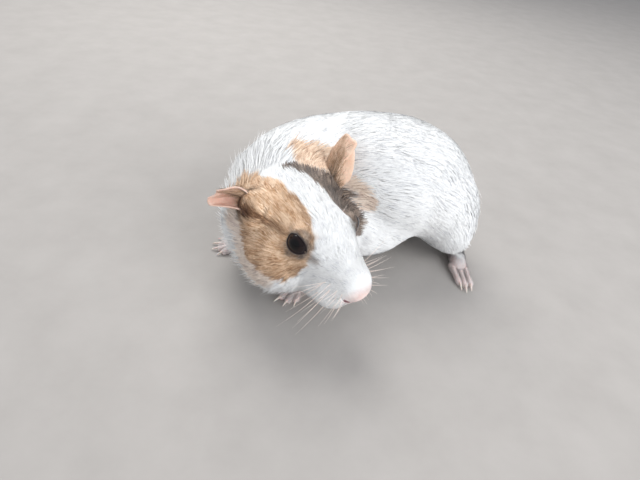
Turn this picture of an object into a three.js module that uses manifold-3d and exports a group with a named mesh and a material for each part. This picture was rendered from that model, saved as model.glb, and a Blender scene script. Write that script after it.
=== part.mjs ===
// A young guinea pig, life size, resting on a floor with its head turned to its own left and one hind foot
// stretched out sideways. Millimetres, +Z up. The soft body is a field of blended ellipsoids, meshed once and
// parted with thin cuts; feet, toes and claws are lofts, and each ear is a thin cupped leaf.
import * as THREE from "three";
import { mergeVertices } from "three/addons/utils/BufferGeometryUtils.js";
import Module from "manifold-3d";

const wasm = await Module();
wasm.setup();

const vec = (x, y, z) => new THREE.Vector3(x, y, z);
const degrees = THREE.MathUtils.degToRad;

// ---------------------------------------------------------------- driving dimensions
const GAP = 0.3; // between neighbouring pieces
const BODY_CELL = 9; // mesh size on the trunk
const HEAD_CELL = 5; // mesh size on the head
const SOLE_DIP = 0.8; // how far a sole is modelled below the floor before the floor cuts it flat
const BODY_BLEND = 8; // how softly the masses of the trunk run together
const FACE_BLEND = 4;
const HEAD_MARGIN = 1.5; // how far outside the head's own masses the head is parted from the trunk
const LEG_MARGIN = 4; // the same for a thigh or shoulder
const SIMPLER = 0.1; // how far a simplified mesh may stray
const EYE_RADIUS = 4.6;
const EAR_THICK = 1;
const TOE = 1.9; // half width
const CLAW = 0.75; // half width at the root

// The head has a frame of its own: origin at the tip of the nose, +X forward along the nose, +Y to its left.
const NOSE_TIP = vec(19.1, 120.9, 29.5);
const HEAD_SIZE = 0.94;
const HEAD = new THREE.Matrix4()
  .makeRotationFromEuler(new THREE.Euler(degrees(-4), degrees(11.6), degrees(-44.5), "ZYX"))
  .scale(vec(HEAD_SIZE, HEAD_SIZE, HEAD_SIZE))
  .setPosition(NOSE_TIP);
const WORLD = new THREE.Matrix4();
const inHead = (x, y, z) => vec(x, y, z).applyMatrix4(HEAD);

// Spine from the rump to the nape: the middle of the trunk, its half width and its half height.
const SPINE = [
  { at: vec(50, 195, 34), wide: 23, high: 24 },
  { at: vec(43, 198, 37), wide: 28, high: 27.5 },
  { at: vec(30, 198.5, 37), wide: 32, high: 31.5 },
  { at: vec(18, 200, 36), wide: 31.5, high: 31.5 },
  { at: vec(6, 203, 35.5), wide: 29, high: 28.5 },
  { at: vec(-6, 199, 35.5), wide: 27, high: 27 },
  { at: vec(-15, 189, 36), wide: 26, high: 26 },
  { at: vec(-21, 177, 36), wide: 24, high: 25 },
];

// Masses of the trunk that stand out of the spine's sweep.
const THIGH_LEFT = { at: vec(64, 187, 25), half: [13, 14, 19] };
const THIGH_RIGHT = { at: vec(41, 219, 26), half: [19, 12, 19] };
const SHOULDER_LEFT = { at: vec(6, 168, 21), half: [15, 14, 16] };
const SHOULDER_RIGHT = { at: vec(-32, 167, 25), half: [13, 13, 18] };
const FLANK = { at: vec(20, 179, 18), half: [20, 15, 14] };
const THROAT = { at: vec(-28, 155, 32), half: [16, 15, 19] };

// Masses of the head, in the head's frame: middle and half sizes.
const HEAD_MASSES = [
  { at: [-5.5, 0, 0], half: [6.5, 7, 6.5] }, // nose
  { at: [-13, 0, -2], half: [13, 10.5, 11] }, // muzzle
  { at: [-13, 6, -8], half: [10, 7.5, 8] }, // left lip
  { at: [-13, -6, -8], half: [10, 7.5, 8] }, // right lip
  { at: [-16, 0, -15], half: [11, 9, 7] }, // chin
  { at: [-27, 0, -9], half: [17, 15, 13] }, // jaw
  { at: [-24, 0, 2], half: [15, 13, 12] }, // bridge
  { at: [-34, 0, 1], half: [18, 17.5, 17] }, // brow
  { at: [-40, 13, -9], half: [19, 15, 16] }, // left cheek
  { at: [-40, -13, -9], half: [19, 16, 16] }, // right cheek
  { at: [-49, 0, 1], half: [18, 22, 18] }, // crown
  { at: [-52, 19, 8], half: [9, 8, 8] }, // root of the left ear
  { at: [-52, -19, 8], half: [9, 8, 8] }, // root of the right ear
];
const EYES = { eye_left: inHead(-29, 14.3, 8.2), eye_right: inHead(-29, -14.3, 8.2) };

// Ears in the head's frame. `foot` runs along the root from the front edge to the back edge, `rim` along the
// free edge between the same ends, and `hollow` is how far the middle is pushed in, away from the opening.
// The left ear stands, with a folded corner before its tip. The right one is laid out, with a notch behind its tip.
const EARS = {
  ear_left: {
    foot: [[-46.7, 24, 11], [-52, 23.5, 11.5], [-57.4, 24, 10]],
    rim: [
      [-44.8, 26.5, 16.7], [-46.4, 28, 22.2], [-49.7, 29.5, 27.9], [-51.6, 30.2, 30], [-51.9, 31, 32.4],
      [-55.4, 30.8, 32.6], [-58.6, 30.5, 32.8], [-61.8, 29, 24.9], [-61.5, 28, 19.6], [-59.4, 26.8, 14.9],
    ],
    hollow: [1, -4, 0],
  },
  ear_right: {
    foot: [[-52, -24, 7], [-55, -22.5, 11.5], [-57.5, -22, 16]],
    rim: [
      [-54.8, -27.5, 8.8], [-57, -30, 8.4], [-60.2, -34.5, 7.4], [-62.6, -37, 7.3], [-63.8, -37.1, 9.3],
      [-62.4, -35, 11.8], [-62.4, -33.7, 14.6], [-61.3, -30.8, 16.8], [-60, -27.9, 18.4], [-57.8, -25, 18.6],
    ],
    hollow: [-3, 5, -1],
  },
};

// Legs from the top joint to the ankle or wrist.
const LEGS = {
  hindleg_left: {
    mass: THIGH_LEFT,
    shank: [
      { at: vec(66, 180, 20), wide: 9, high: 11 },
      { at: vec(69.5, 188, 13), wide: 7.5, high: 8 },
      { at: vec(72, 194, 8.5), wide: 5.5, high: 6 },
    ],
  },
  hindleg_right: {
    mass: THIGH_RIGHT,
    shank: [
      { at: vec(40, 221, 18), wide: 10, high: 10 },
      { at: vec(49, 221, 13), wide: 7.5, high: 8 },
      { at: vec(56, 220, 8.5), wide: 5.5, high: 6 },
    ],
  },
  foreleg_left: {
    mass: SHOULDER_LEFT,
    shank: [
      { at: vec(0, 162, 18), wide: 7, high: 7 },
      { at: vec(-3.5, 156, 12), wide: 5, high: 5 },
      { at: vec(-5, 151, 7), wide: 4, high: 4 },
    ],
  },
  foreleg_right: {
    mass: SHOULDER_RIGHT,
    shank: [
      { at: vec(-33, 170, 18), wide: 7, high: 7 },
      { at: vec(-36, 170.5, 12), wide: 5, high: 5 },
      { at: vec(-39, 171, 7), wide: 4, high: 4 },
    ],
  },
};

// Feet: the sole from the ankle or wrist to the roots of the toes, then each toe from root to tip.
const FEET = {
  hindfoot_left: {
    sole: [
      { at: vec(72.2, 197, 4.6), wide: 4.4 },
      { at: vec(72.8, 188, 4.6), wide: 4.7 },
      { at: vec(73.6, 178, 3.6), wide: 5 },
      { at: vec(74.3, 171, 3), wide: 5.2 },
    ],
    toes: [
      [vec(71.2, 171, 2), vec(72.6, 164.5, 1.5)],
      [vec(74.4, 170.5, 2), vec(75.2, 163, 1.5)],
      [vec(77.4, 171, 2), vec(78, 164.5, 1.5)],
    ],
  },
  hindfoot_right: {
    sole: [
      { at: vec(58, 220, 4.6), wide: 4.4 },
      { at: vec(49, 221, 4.6), wide: 4.7 },
      { at: vec(39, 222, 3.6), wide: 5 },
      { at: vec(32, 222.6, 3), wide: 5.2 },
    ],
    toes: [
      [vec(32, 219.6, 2), vec(25.5, 220.2, 1.5)],
      [vec(31.5, 222.8, 2), vec(24, 223, 1.5)],
      [vec(32, 225.8, 2), vec(25.5, 226.2, 1.5)],
    ],
  },
  forefoot_left: {
    sole: [
      { at: vec(-5.4, 149.4, 3.2), wide: 3.8 },
      { at: vec(-7.4, 146.6, 2.6), wide: 4.3 },
      { at: vec(-9.6, 143.4, 2.4), wide: 4.6 },
    ],
    toes: [
      [vec(-6.8, 142.8, 1.7), vec(-7.4, 139.6, 1.4)],
      [vec(-8.9, 142.2, 1.7), vec(-11.1, 138.4, 1.4)],
      [vec(-10.9, 143.3, 1.7), vec(-14.5, 139.9, 1.4)],
      [vec(-11.9, 145.5, 1.7), vec(-15.7, 143.8, 1.4)],
    ],
  },
  forefoot_right: {
    sole: [
      { at: vec(-40, 171, 3.2), wide: 3.8 },
      { at: vec(-42.8, 170.8, 2.6), wide: 4.3 },
      { at: vec(-45.6, 170.4, 2.4), wide: 4.6 },
    ],
    toes: [
      [vec(-45, 167.4, 1.7), vec(-47.6, 165.6, 1.4)],
      [vec(-46.4, 169.2, 1.7), vec(-50.6, 168, 1.4)],
      [vec(-46.6, 171.4, 1.7), vec(-51, 171.6, 1.4)],
      [vec(-45.6, 173.4, 1.7), vec(-49.6, 175, 1.4)],
    ],
  },
};

const COAT = 0xf1ece4;
const TAN = 0xd9a878;
const SKIN = 0xe2b9ad;
const HORN = 0xcdb9ac;
const EYE = 0x1c1512;

// ---------------------------------------------------------------- fields: negative inside, roughly a distance
function ellipsoid({ at, half }, frame = WORLD) {
  const back = frame.clone().invert();
  return (p) => {
    const q = p.clone().applyMatrix4(back).sub(at);
    const near = Math.hypot(q.x / half[0], q.y / half[1], q.z / half[2]);
    const steep = Math.hypot(q.x / half[0] ** 2, q.y / half[1] ** 2, q.z / half[2] ** 2);
    return steep < 1e-9 ? -Math.min(...half) : (near * (near - 1)) / steep;
  };
}

function smoothMin(a, b, k) {
  const h = Math.max(k - Math.abs(a - b), 0) / k;
  return Math.min(a, b) - (h * h * k) / 4;
}

const blended = (fields, k) => (p) => fields.map((f) => f(p)).reduce((a, b) => smoothMin(a, b, k));

// A trunk: ellipsoids set close together along a smooth line through the stations.
function swept(stations, count) {
  const line = new THREE.CatmullRomCurve3(stations.map((s) => s.at));
  const sizes = new THREE.CatmullRomCurve3(stations.map((s) => vec(s.wide, s.high, 0)));
  const fields = Array.from({ length: count }, (_, i) => {
    const t = i / (count - 1);
    const { x: wide, y: high } = sizes.getPoint(t);
    return ellipsoid({ at: line.getPoint(t), half: [wide, wide, high] });
  });
  return (p) => Math.min(...fields.map((f) => f(p)));
}

// ---------------------------------------------------------------- meshes
function solid(points, faces) {
  return new wasm.Manifold(
    new wasm.Mesh({
      numProp: 3,
      vertProperties: new Float32Array(points.flatMap((p) => [p.x, p.y, p.z])),
      triVerts: new Uint32Array(faces),
    }),
  );
}

// Two steps down the field's slope, kept short so that the mesh stays well shaped.
function settle(field, p, cell) {
  const e = 0.05;
  for (let turn = 0; turn < 2; turn++) {
    const f = field(p);
    const slope = vec(
      field(vec(p.x + e, p.y, p.z)) - f,
      field(vec(p.x, p.y + e, p.z)) - f,
      field(vec(p.x, p.y, p.z + e)) - f,
    ).divideScalar(e);
    const steep = slope.lengthSq();
    if (steep < 1e-6) break;
    p.addScaledVector(slope, -THREE.MathUtils.clamp(f / steep, -0.3 * cell, 0.3 * cell));
  }
  return p;
}

// Surface net of a field: one point in each cell that the surface crosses, then moved onto the surface.
// A shape that reaches the edge of the grid is closed there by flat faces.
function netOf(open, low, high, cell) {
  const wall = (p) => Math.max(...p.toArray().flatMap((x, a) => [low[a] + cell - x, x - high[a] + cell]));
  const field = (p) => Math.max(open(p), wall(p));
  const size = low.map((x, a) => Math.ceil((high[a] - x) / cell) + 1);
  const corner = (i, j, k) => vec(low[0] + i * cell, low[1] + j * cell, low[2] + k * cell);
  const index = (i, j, k) => i + size[0] * (j + size[1] * k);
  const values = new Float32Array(size[0] * size[1] * size[2]);
  for (let k = 0; k < size[2]; k++)
    for (let j = 0; j < size[1]; j++)
      for (let i = 0; i < size[0]; i++) values[index(i, j, k)] = field(corner(i, j, k));

  const bits = [0, 1, 2, 3, 4, 5, 6, 7].map((b) => [b & 1, (b >> 1) & 1, (b >> 2) & 1]);
  const edges = bits.flatMap((a, m) =>
    bits.map((b, n) => [m, n]).filter(([, n]) => m < n && a.filter((v, c) => v !== bits[n][c]).length === 1),
  );
  const points = [];
  const pointOf = new Map();
  for (let k = 0; k < size[2] - 1; k++)
    for (let j = 0; j < size[1] - 1; j++)
      for (let i = 0; i < size[0] - 1; i++) {
        const v = bits.map(([a, b, c]) => values[index(i + a, j + b, k + c)]);
        const crossed = edges.filter(([m, n]) => v[m] < 0 !== v[n] < 0);
        if (!crossed.length) continue;
        const sum = vec(0, 0, 0);
        for (const [m, n] of crossed) {
          const a = corner(i + bits[m][0], j + bits[m][1], k + bits[m][2]);
          const b = corner(i + bits[n][0], j + bits[n][1], k + bits[n][2]);
          sum.add(a.lerp(b, v[m] / (v[m] - v[n])));
        }
        pointOf.set(index(i, j, k), points.length);
        points.push(settle(field, sum.divideScalar(crossed.length), cell));
      }

  const faces = [];
  const steps = [
    [1, 0, 0],
    [0, 1, 0],
    [0, 0, 1],
  ];
  for (let k = 1; k < size[2] - 1; k++)
    for (let j = 1; j < size[1] - 1; j++)
      for (let i = 1; i < size[0] - 1; i++)
        steps.forEach((step, axis) => {
          const inside = values[index(i, j, k)] < 0;
          if (inside === values[index(i + step[0], j + step[1], k + step[2])] < 0) return;
          const [u, w] = [steps[(axis + 1) % 3], steps[(axis + 2) % 3]];
          const cellAt = (a, b) => index(i - a * u[0] - b * w[0], j - a * u[1] - b * w[1], k - a * u[2] - b * w[2]);
          const ring = [cellAt(0, 0), cellAt(1, 0), cellAt(1, 1), cellAt(0, 1)].map((c) => pointOf.get(c));
          if (!inside) ring.reverse();
          faces.push(ring[0], ring[1], ring[2], ring[0], ring[2], ring[3]);
        });
  return { points, faces };
}

// The net's points moved outwards by `grow` along their own normals.
function grown({ points, faces }, grow) {
  const normals = points.map(() => vec(0, 0, 0));
  for (let f = 0; f < faces.length; f += 3) {
    const [a, b, c] = [0, 1, 2].map((i) => points[faces[f + i]]);
    const normal = b.clone().sub(a).cross(c.clone().sub(a));
    for (let i = 0; i < 3; i++) normals[faces[f + i]].add(normal);
  }
  return solid(
    points.map((p, i) => p.clone().addScaledVector(normals[i].normalize(), grow)),
    faces,
  );
}

// The solid of a closed three.js geometry, placed by a matrix.
function solidOf(geometry, matrix = WORLD) {
  const bare = geometry.clone();
  bare.deleteAttribute("normal");
  bare.deleteAttribute("uv");
  const merged = mergeVertices(bare.applyMatrix4(matrix), 1e-3);
  const points = Array.from({ length: merged.attributes.position.count }, (_, i) =>
    vec().fromBufferAttribute(merged.attributes.position, i),
  );
  return solid(points, [...merged.index.array]);
}

function ball({ at, half }, grow, columns, rows) {
  const place = new THREE.Matrix4().compose(at, new THREE.Quaternion(), vec(...half.map((h) => h + grow)));
  return solidOf(new THREE.SphereGeometry(1, columns, rows), place);
}

// A half space as a large box whose near face holds the point, on the side that the normal points to.
function beyond(point, normal) {
  const reach = 400;
  const turn = new THREE.Quaternion().setFromUnitVectors(vec(0, 0, 1), normal);
  const middle = point.clone().addScaledVector(normal, reach / 2);
  return solidOf(new THREE.BoxGeometry(reach, reach, reach), new THREE.Matrix4().compose(middle, turn, vec(1, 1, 1)));
}

// Parts a solid with a plane, leaving the gap: first the piece behind the plane, then the one in front.
function parted(made, point, normal) {
  const n = normal.clone().normalize();
  const [near, far] = [-GAP / 2, GAP / 2].map((d) => beyond(point.clone().addScaledVector(n, d), n));
  return [made.subtract(near), made.intersect(far)];
}

// A limb, toe or claw: rings of `sides` corners across a smooth line, with rounded ends, `grow` larger all round.
function limb(stations, sides, rings, grow = 0) {
  const line = new THREE.CatmullRomCurve3(stations.map((s) => s.at), false, "centripetal");
  const sizes = new THREE.CatmullRomCurve3(
    stations.map((s) => vec(s.wide + grow, (s.high ?? s.wide) + grow, 0)),
    false,
    "centripetal",
  );
  const points = [];
  const ring = (t, reach) => {
    const along = line.getTangent(t);
    const side = vec(-along.y, along.x, 0).normalize();
    const up = along.clone().cross(side);
    const { x: wide, y: high } = sizes.getPoint(t);
    const middle = line.getPoint(t).addScaledVector(along, reach * Math.min(wide, high));
    const share = Math.sqrt(1 - reach * reach);
    for (let i = 0; i < sides; i++) {
      const a = (2 * Math.PI * (i + 0.5)) / sides;
      const across = side.clone().multiplyScalar(share * wide * Math.cos(a));
      points.push(middle.clone().add(across).addScaledVector(up, share * high * Math.sin(a)));
    }
  };
  const ends = [0.7]; // rings of the rounded ends, as shares of the end's half size
  ends.toReversed().forEach((reach) => ring(0, -reach));
  for (let r = 0; r < rings; r++) ring(r / (rings - 1), 0);
  ends.forEach((reach) => ring(1, reach));

  const faces = [];
  const count = rings + 2 * ends.length;
  for (let r = 0; r < count - 1; r++)
    for (let i = 0; i < sides; i++) {
      const [a, b] = [r * sides + i, r * sides + ((i + 1) % sides)];
      faces.push(a, b, b + sides, a, b + sides, a + sides);
    }
  for (let i = 1; i < sides - 1; i++) {
    const last = (count - 1) * sides;
    faces.push(0, i + 1, i, last, last + i, last + i + 1);
  }
  const made = solid(points, faces);
  return made.volume() < 0 ? solid(points, faces.toReversed()) : made;
}

// A leaf: a sheet spanned between two edges, hollowed, with a second sheet EAR_THICK behind it.
function leaf({ foot, rim, hollow }, rows) {
  const columns = rim.length - 1;
  const [footLine, rimLine] = [foot, rim].map(
    (edge) => new THREE.CatmullRomCurve3(edge.map((p) => inHead(...p)), false, "centripetal"),
  );
  const push = vec(...hollow).transformDirection(HEAD).multiplyScalar(Math.hypot(...hollow));
  const sheet = (u, v) =>
    footLine
      .getPointAt(u)
      .lerp(rimLine.getPoint(u), v)
      .addScaledVector(push, Math.sin(Math.PI * u) * Math.sin(Math.PI * (0.15 + 0.75 * v)));
  const back = push.clone().normalize().multiplyScalar(EAR_THICK);
  const points = [];
  for (const layer of [0, 1])
    for (let r = 0; r <= rows; r++)
      for (let c = 0; c <= columns; c++) points.push(sheet(c / columns, r / rows).addScaledVector(back, layer));
  const at = (layer, r, c) => (layer * (rows + 1) + r) * (columns + 1) + c;
  const faces = [];
  const quad = (a, b, c, d) => faces.push(a, b, c, a, c, d);
  for (let r = 0; r < rows; r++)
    for (let c = 0; c < columns; c++) {
      quad(at(0, r, c), at(0, r, c + 1), at(0, r + 1, c + 1), at(0, r + 1, c));
      quad(at(1, r, c), at(1, r + 1, c), at(1, r + 1, c + 1), at(1, r, c + 1));
    }
  for (let c = 0; c < columns; c++) {
    quad(at(0, 0, c + 1), at(0, 0, c), at(1, 0, c), at(1, 0, c + 1));
    quad(at(0, rows, c), at(0, rows, c + 1), at(1, rows, c + 1), at(1, rows, c));
  }
  for (let r = 0; r < rows; r++) {
    quad(at(0, r, 0), at(0, r + 1, 0), at(1, r + 1, 0), at(1, r, 0));
    quad(at(0, r + 1, columns), at(0, r, columns), at(1, r, columns), at(1, r + 1, columns));
  }
  const made = solid(points, faces);
  return made.volume() < 0 ? solid(points, faces.toReversed()) : made;
}

const largest = (made) => made.decompose().reduce((a, b) => (a.volume() > b.volume() ? a : b));
const joined = (solids) => solids.reduce((a, b) => a.add(b));
const dipped = (station) => ({ ...station, high: station.at.z + SOLE_DIP });

// ---------------------------------------------------------------- the pieces
const pieces = {};
const trunkField = blended(
  [swept(SPINE, 28), ...[THIGH_LEFT, THIGH_RIGHT, SHOULDER_LEFT, SHOULDER_RIGHT, FLANK, THROAT].map((m) => ellipsoid(m))],
  BODY_BLEND,
);
const headField = blended(
  HEAD_MASSES.map(({ at, half }) => ellipsoid({ at: vec(...at), half }, HEAD)),
  FACE_BLEND,
);
const bodyField = blended([trunkField, headField], BODY_BLEND);
const faceField = (p) => headField(p) - HEAD_MARGIN;

const headBox = [
  [-60, 96, 3],
  [44, 204, 80],
];
const headCut = netOf(faceField, ...headBox, 8);
const bodyNet = netOf(bodyField, [-70, 115, -3], [100, 250, 84], BODY_CELL);
const faceNet = netOf(bodyField, ...headBox, HEAD_CELL);
let head = grown(faceNet, 0).intersect(grown(headCut, 0));
let trunk = grown(bodyNet, 0).subtract(grown(headCut, GAP));

for (const [name, at] of Object.entries(EYES)) {
  const eye = (grow) => ball({ at, half: [EYE_RADIUS, EYE_RADIUS, EYE_RADIUS] }, grow, 12, 8);
  head = head.subtract(eye(GAP));
  pieces[name] = { made: eye(0), colour: EYE, roughness: 0.15 };
}
for (const [name, ear] of Object.entries(EARS)) {
  const made = leaf(ear, 3).subtract(grown(faceNet, GAP)).subtract(grown(bodyNet, GAP));
  pieces[name] = { made, colour: SKIN };
}
pieces.head = { made: head, colour: TAN };

const floor = beyond(vec(0, 180, 0), vec(0, 0, -1));
const clawOf = ([root, tip]) => {
  const ahead = tip.clone().sub(root).setZ(0).normalize();
  const along = (reach, z) => tip.clone().addScaledVector(ahead, reach).setZ(z);
  return (grow) =>
    limb(
      [
        { at: along(-0.4, 2.1), wide: CLAW },
        { at: along(2.2, 1.7), wide: 0.65 },
        { at: along(3.8, 0.8), wide: 0.4 },
      ],
      5,
      3,
      grow,
    );
};
for (const [name, { sole, toes }] of Object.entries(FEET)) {
  const claws = toes.map(clawOf);
  const toeSolids = toes.map(([root, tip]) =>
    limb([dipped({ at: root, wide: TOE }), dipped({ at: tip, wide: TOE - 0.4 })], 6, 2),
  );
  let foot = joined([limb(sole.map(dipped), 8, 4), ...toeSolids]).subtract(floor);
  claws.forEach((claw, i) => {
    foot = foot.subtract(claw(GAP));
    pieces[`claw_${name}_${i + 1}`] = { made: claw(0), colour: HORN, roughness: 0.4 };
  });
  pieces[name] = { made: foot, colour: SKIN };
}
for (const [name, { mass, shank }] of Object.entries(LEGS)) {
  const foot = FEET[name.replace("leg", "foot")];
  const upper = (grow) => joined([ball(mass, grow + LEG_MARGIN, 14, 8), limb(shank, 9, 3, grow)]);
  const leg = joined([grown(bodyNet, 0).intersect(ball(mass, LEG_MARGIN, 14, 8)), limb(shank, 9, 3)]);
  trunk = trunk.subtract(upper(GAP));
  pieces[name] = {
    made: leg.subtract(grown(headCut, GAP)).subtract(limb(foot.sole.map(dipped), 8, 4, GAP)),
    colour: COAT,
  };
}

const [rest, neck] = parted(trunk, vec(-9, 183, 36), vec(-0.75, -0.66, 0));
const [back, chest] = parted(rest, vec(12, 196, 36), vec(-1, -0.15, 0));
const [rump, belly] = parted(back, vec(38, 200, 36), vec(-1, 0.05, 0));
Object.entries({ neck, chest, belly, rump }).forEach(([name, made]) => (pieces[name] = { made, colour: COAT }));

// The origin is the middle of the whole animal's footprint, on the floor.
const bounds = Object.values(pieces).map(({ made }) => made.boundingBox());
const low = [0, 1].map((a) => Math.min(...bounds.map((b) => b.min[a])));
const high = [0, 1].map((a) => Math.max(...bounds.map((b) => b.max[a])));
const centre = low.map((x, a) => (x + high[a]) / 2);

const root = new THREE.Group();
for (const [name, { made, colour, roughness = 0.8 }] of Object.entries(pieces)) {
  const whole = largest(made.simplify(SIMPLER));
  const { vertProperties, triVerts } = whole.translate(-centre[0], -centre[1], 0).getMesh();
  const geometry = new THREE.BufferGeometry()
    .setAttribute("position", new THREE.BufferAttribute(new Float32Array(vertProperties), 3))
    .setIndex(new THREE.BufferAttribute(new Uint32Array(triVerts), 1));
  const mesh = new THREE.Mesh(geometry, new THREE.MeshStandardMaterial({ color: colour, roughness }));
  mesh.name = name;
  root.add(mesh);
}

export default root;
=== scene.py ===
"""Looks of a young guinea pig: white, with a tan patch round the right eye, and dark and tan patches behind
the left one. One skin stands for the solids of the body and a coat of small solid locks lies over it. The
ears, eyes, claws and whiskers are pieces of their own. Working lengths are millimetres in the frame the
animal was drawn in; `placed` turns them into the row's metres."""

from functools import reduce

import bmesh
import bpy
import numpy as np
from mathutils import Matrix, Vector
from mathutils.kdtree import KDTree


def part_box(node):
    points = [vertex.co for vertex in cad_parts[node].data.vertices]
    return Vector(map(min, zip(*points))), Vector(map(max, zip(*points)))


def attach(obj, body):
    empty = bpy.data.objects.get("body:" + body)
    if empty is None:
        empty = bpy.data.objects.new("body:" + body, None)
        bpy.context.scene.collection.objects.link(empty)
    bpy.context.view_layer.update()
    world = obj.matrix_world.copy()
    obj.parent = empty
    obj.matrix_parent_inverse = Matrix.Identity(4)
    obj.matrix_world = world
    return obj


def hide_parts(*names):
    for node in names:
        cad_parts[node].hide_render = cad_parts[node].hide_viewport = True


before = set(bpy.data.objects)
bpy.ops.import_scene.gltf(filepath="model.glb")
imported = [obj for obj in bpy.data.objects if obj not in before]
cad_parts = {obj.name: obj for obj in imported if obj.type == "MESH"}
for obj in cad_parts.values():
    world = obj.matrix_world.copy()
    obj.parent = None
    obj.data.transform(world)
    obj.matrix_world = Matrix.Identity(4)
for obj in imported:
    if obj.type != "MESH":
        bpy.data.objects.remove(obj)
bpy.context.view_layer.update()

# ---------------------------------------------------------------- driving dimensions
SKIN_CELL = 0.85
BODY_BLEND, FACE_BLEND, LIMB_BLEND, TOE_BLEND = 8.0, 4.0, 1.0, 0.4  # how softly masses run together
COAT_DEPTH, FOOT_DEPTH = 2.1, 0.5
EYE_RADIUS = 4.6


def turned(axis, angle):
    a = np.radians(angle)
    i, j = {"X": (1, 2), "Y": (2, 0), "Z": (0, 1)}[axis]
    turn = np.eye(3)
    turn[i, i] = turn[j, j] = np.cos(a)
    turn[i, j], turn[j, i] = -np.sin(a), np.sin(a)
    return turn


# The head's frame: origin at the tip of the nose, +X forward along the nose, +Y to its left, +Z to the crown.
NOSE_TIP = np.array([19.1, 120.9, 29.5])
HEAD_SIZE = 0.94
HEAD_TURN = turned("Z", -44.5) @ turned("Y", 11.6) @ turned("X", -4)


def to_head(p):
    return (p - NOSE_TIP) @ HEAD_TURN / HEAD_SIZE


def from_head(q):
    return NOSE_TIP + HEAD_SIZE * np.asarray(q, float) @ HEAD_TURN.T


def from_head_way(way):
    return np.asarray(way, float) @ HEAD_TURN.T


# Spine from the rump to the nape: the middle of the trunk, its half width and its half height.
SPINE = [
    ((50, 195, 34), 23, 24),
    ((43, 198, 37), 28, 27.5),
    ((30, 198.5, 37), 32, 31.5),
    ((18, 200, 36), 31.5, 31.5),
    ((6, 203, 35.5), 29, 28.5),
    ((-6, 199, 35.5), 27, 27),
    ((-15, 189, 36), 26, 26),
    ((-21, 177, 36), 24, 25),
]
# The other masses, each its middle and half sizes.
BODY_MASSES = {
    "left thigh": ((64, 187, 25), (13, 14, 19)),
    "right thigh": ((41, 219, 26), (19, 12, 19)),
    "left shoulder": ((6, 168, 21), (15, 14, 16)),
    "right shoulder": ((-32, 167, 25), (13, 13, 18)),
    "flank": ((20, 179, 18), (20, 15, 14)),
    "throat": ((-28, 155, 32), (16, 15, 19)),
}
HEAD_MASSES = {
    "nose": ((-5.5, 0, 0), (6.5, 7, 6.5)),
    "muzzle": ((-13, 0, -2), (13, 10.5, 11)),
    "left lip": ((-13, 6, -8), (10, 7.5, 8)),
    "right lip": ((-13, -6, -8), (10, 7.5, 8)),
    "chin": ((-16, 0, -15), (11, 9, 7)),
    "jaw": ((-27, 0, -9), (17, 15, 13)),
    "bridge": ((-24, 0, 2), (15, 13, 12)),
    "brow": ((-34, 0, 1), (18, 17.5, 17)),
    "left cheek": ((-40, 13, -9), (19, 15, 16)),
    "right cheek": ((-40, -13, -9), (19, 16, 16)),
    "crown": ((-49, 0, 1), (18, 22, 18)),
    "left ear root": ((-52, 19, 8), (9, 8, 8)),
    "right ear root": ((-52, -19, 8), (9, 8, 8)),
}
EYES = {"left": (-29, 14.3, 8.2), "right": (-29, -14.3, 8.2)}

# Legs below the thigh or shoulder: middle, half width, half height, down to the ankle or wrist.
SHANKS = {
    "hindfoot_left": [((66, 180, 20), 9, 11), ((69.5, 188, 13), 7.5, 8), ((72, 194, 8.5), 5.5, 6)],
    "hindfoot_right": [((40, 221, 18), 10, 10), ((49, 221, 13), 7.5, 8), ((56, 220, 8.5), 5.5, 6)],
    "forefoot_left": [((0, 162, 18), 7, 7), ((-3.5, 156, 12), 5, 5), ((-5, 151, 7), 4, 4)],
    "forefoot_right": [((-33, 170, 18), 7, 7), ((-36, 170.5, 12), 5, 5), ((-39, 171, 7), 4, 4)],
}
# Feet: the sole from the ankle or wrist to the roots of the toes, then each toe from root to tip.
SOLES = {
    "hindfoot_left": [
        ((72.2, 197, 4.6), 4.4), ((72.8, 188, 4.6), 4.7), ((73.6, 178, 3.6), 5), ((74.3, 171, 3), 5.2),
    ],
    "hindfoot_right": [
        ((58, 220, 4.6), 4.4), ((49, 221, 4.6), 4.7), ((39, 222, 3.6), 5), ((32, 222.6, 3), 5.2),
    ],
    "forefoot_left": [((-5.4, 149.4, 3.2), 3.8), ((-7.4, 146.6, 2.6), 4.3), ((-9.6, 143.4, 2.4), 4.6)],
    "forefoot_right": [((-40, 171, 3.2), 3.8), ((-42.8, 170.8, 2.6), 4.3), ((-45.6, 170.4, 2.4), 4.6)],
}
TOES = {
    "hindfoot_left": [
        ((71.2, 171), (72.6, 164.5)),
        ((74.4, 170.5), (75.2, 163)),
        ((77.4, 171), (78, 164.5)),
    ],
    "hindfoot_right": [
        ((32, 219.6), (25.5, 220.2)),
        ((31.5, 222.8), (24, 223)),
        ((32, 225.8), (25.5, 226.2)),
    ],
    "forefoot_left": [
        ((-6.8, 142.8), (-7.4, 139.6)),
        ((-8.9, 142.2), (-11.1, 138.4)),
        ((-10.9, 143.3), (-14.5, 139.9)),
        ((-11.9, 145.5), (-15.7, 143.8)),
    ],
    "forefoot_right": [
        ((-45, 167.4), (-47.6, 165.6)),
        ((-46.4, 169.2), (-50.6, 168)),
        ((-46.6, 171.4), (-51, 171.6)),
        ((-45.6, 173.4), (-49.6, 175)),
    ],
}

EYE_PLACES = {side: from_head(at) for side, at in EYES.items()}

# The row's frame differs from the drawing's by one shift, found from the eyes.
SHIFT = np.mean(
    [1000 * np.mean(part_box(f"eye_{side}"), axis=0) - at for side, at in EYE_PLACES.items()], axis=0
)


def placed(p):
    return (np.asarray(p) + SHIFT) * 0.001


def drawn(p):
    """The way back: points of the row, in metres, as the drawing's millimetres."""
    return 1000 * np.asarray(p) - SHIFT


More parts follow.
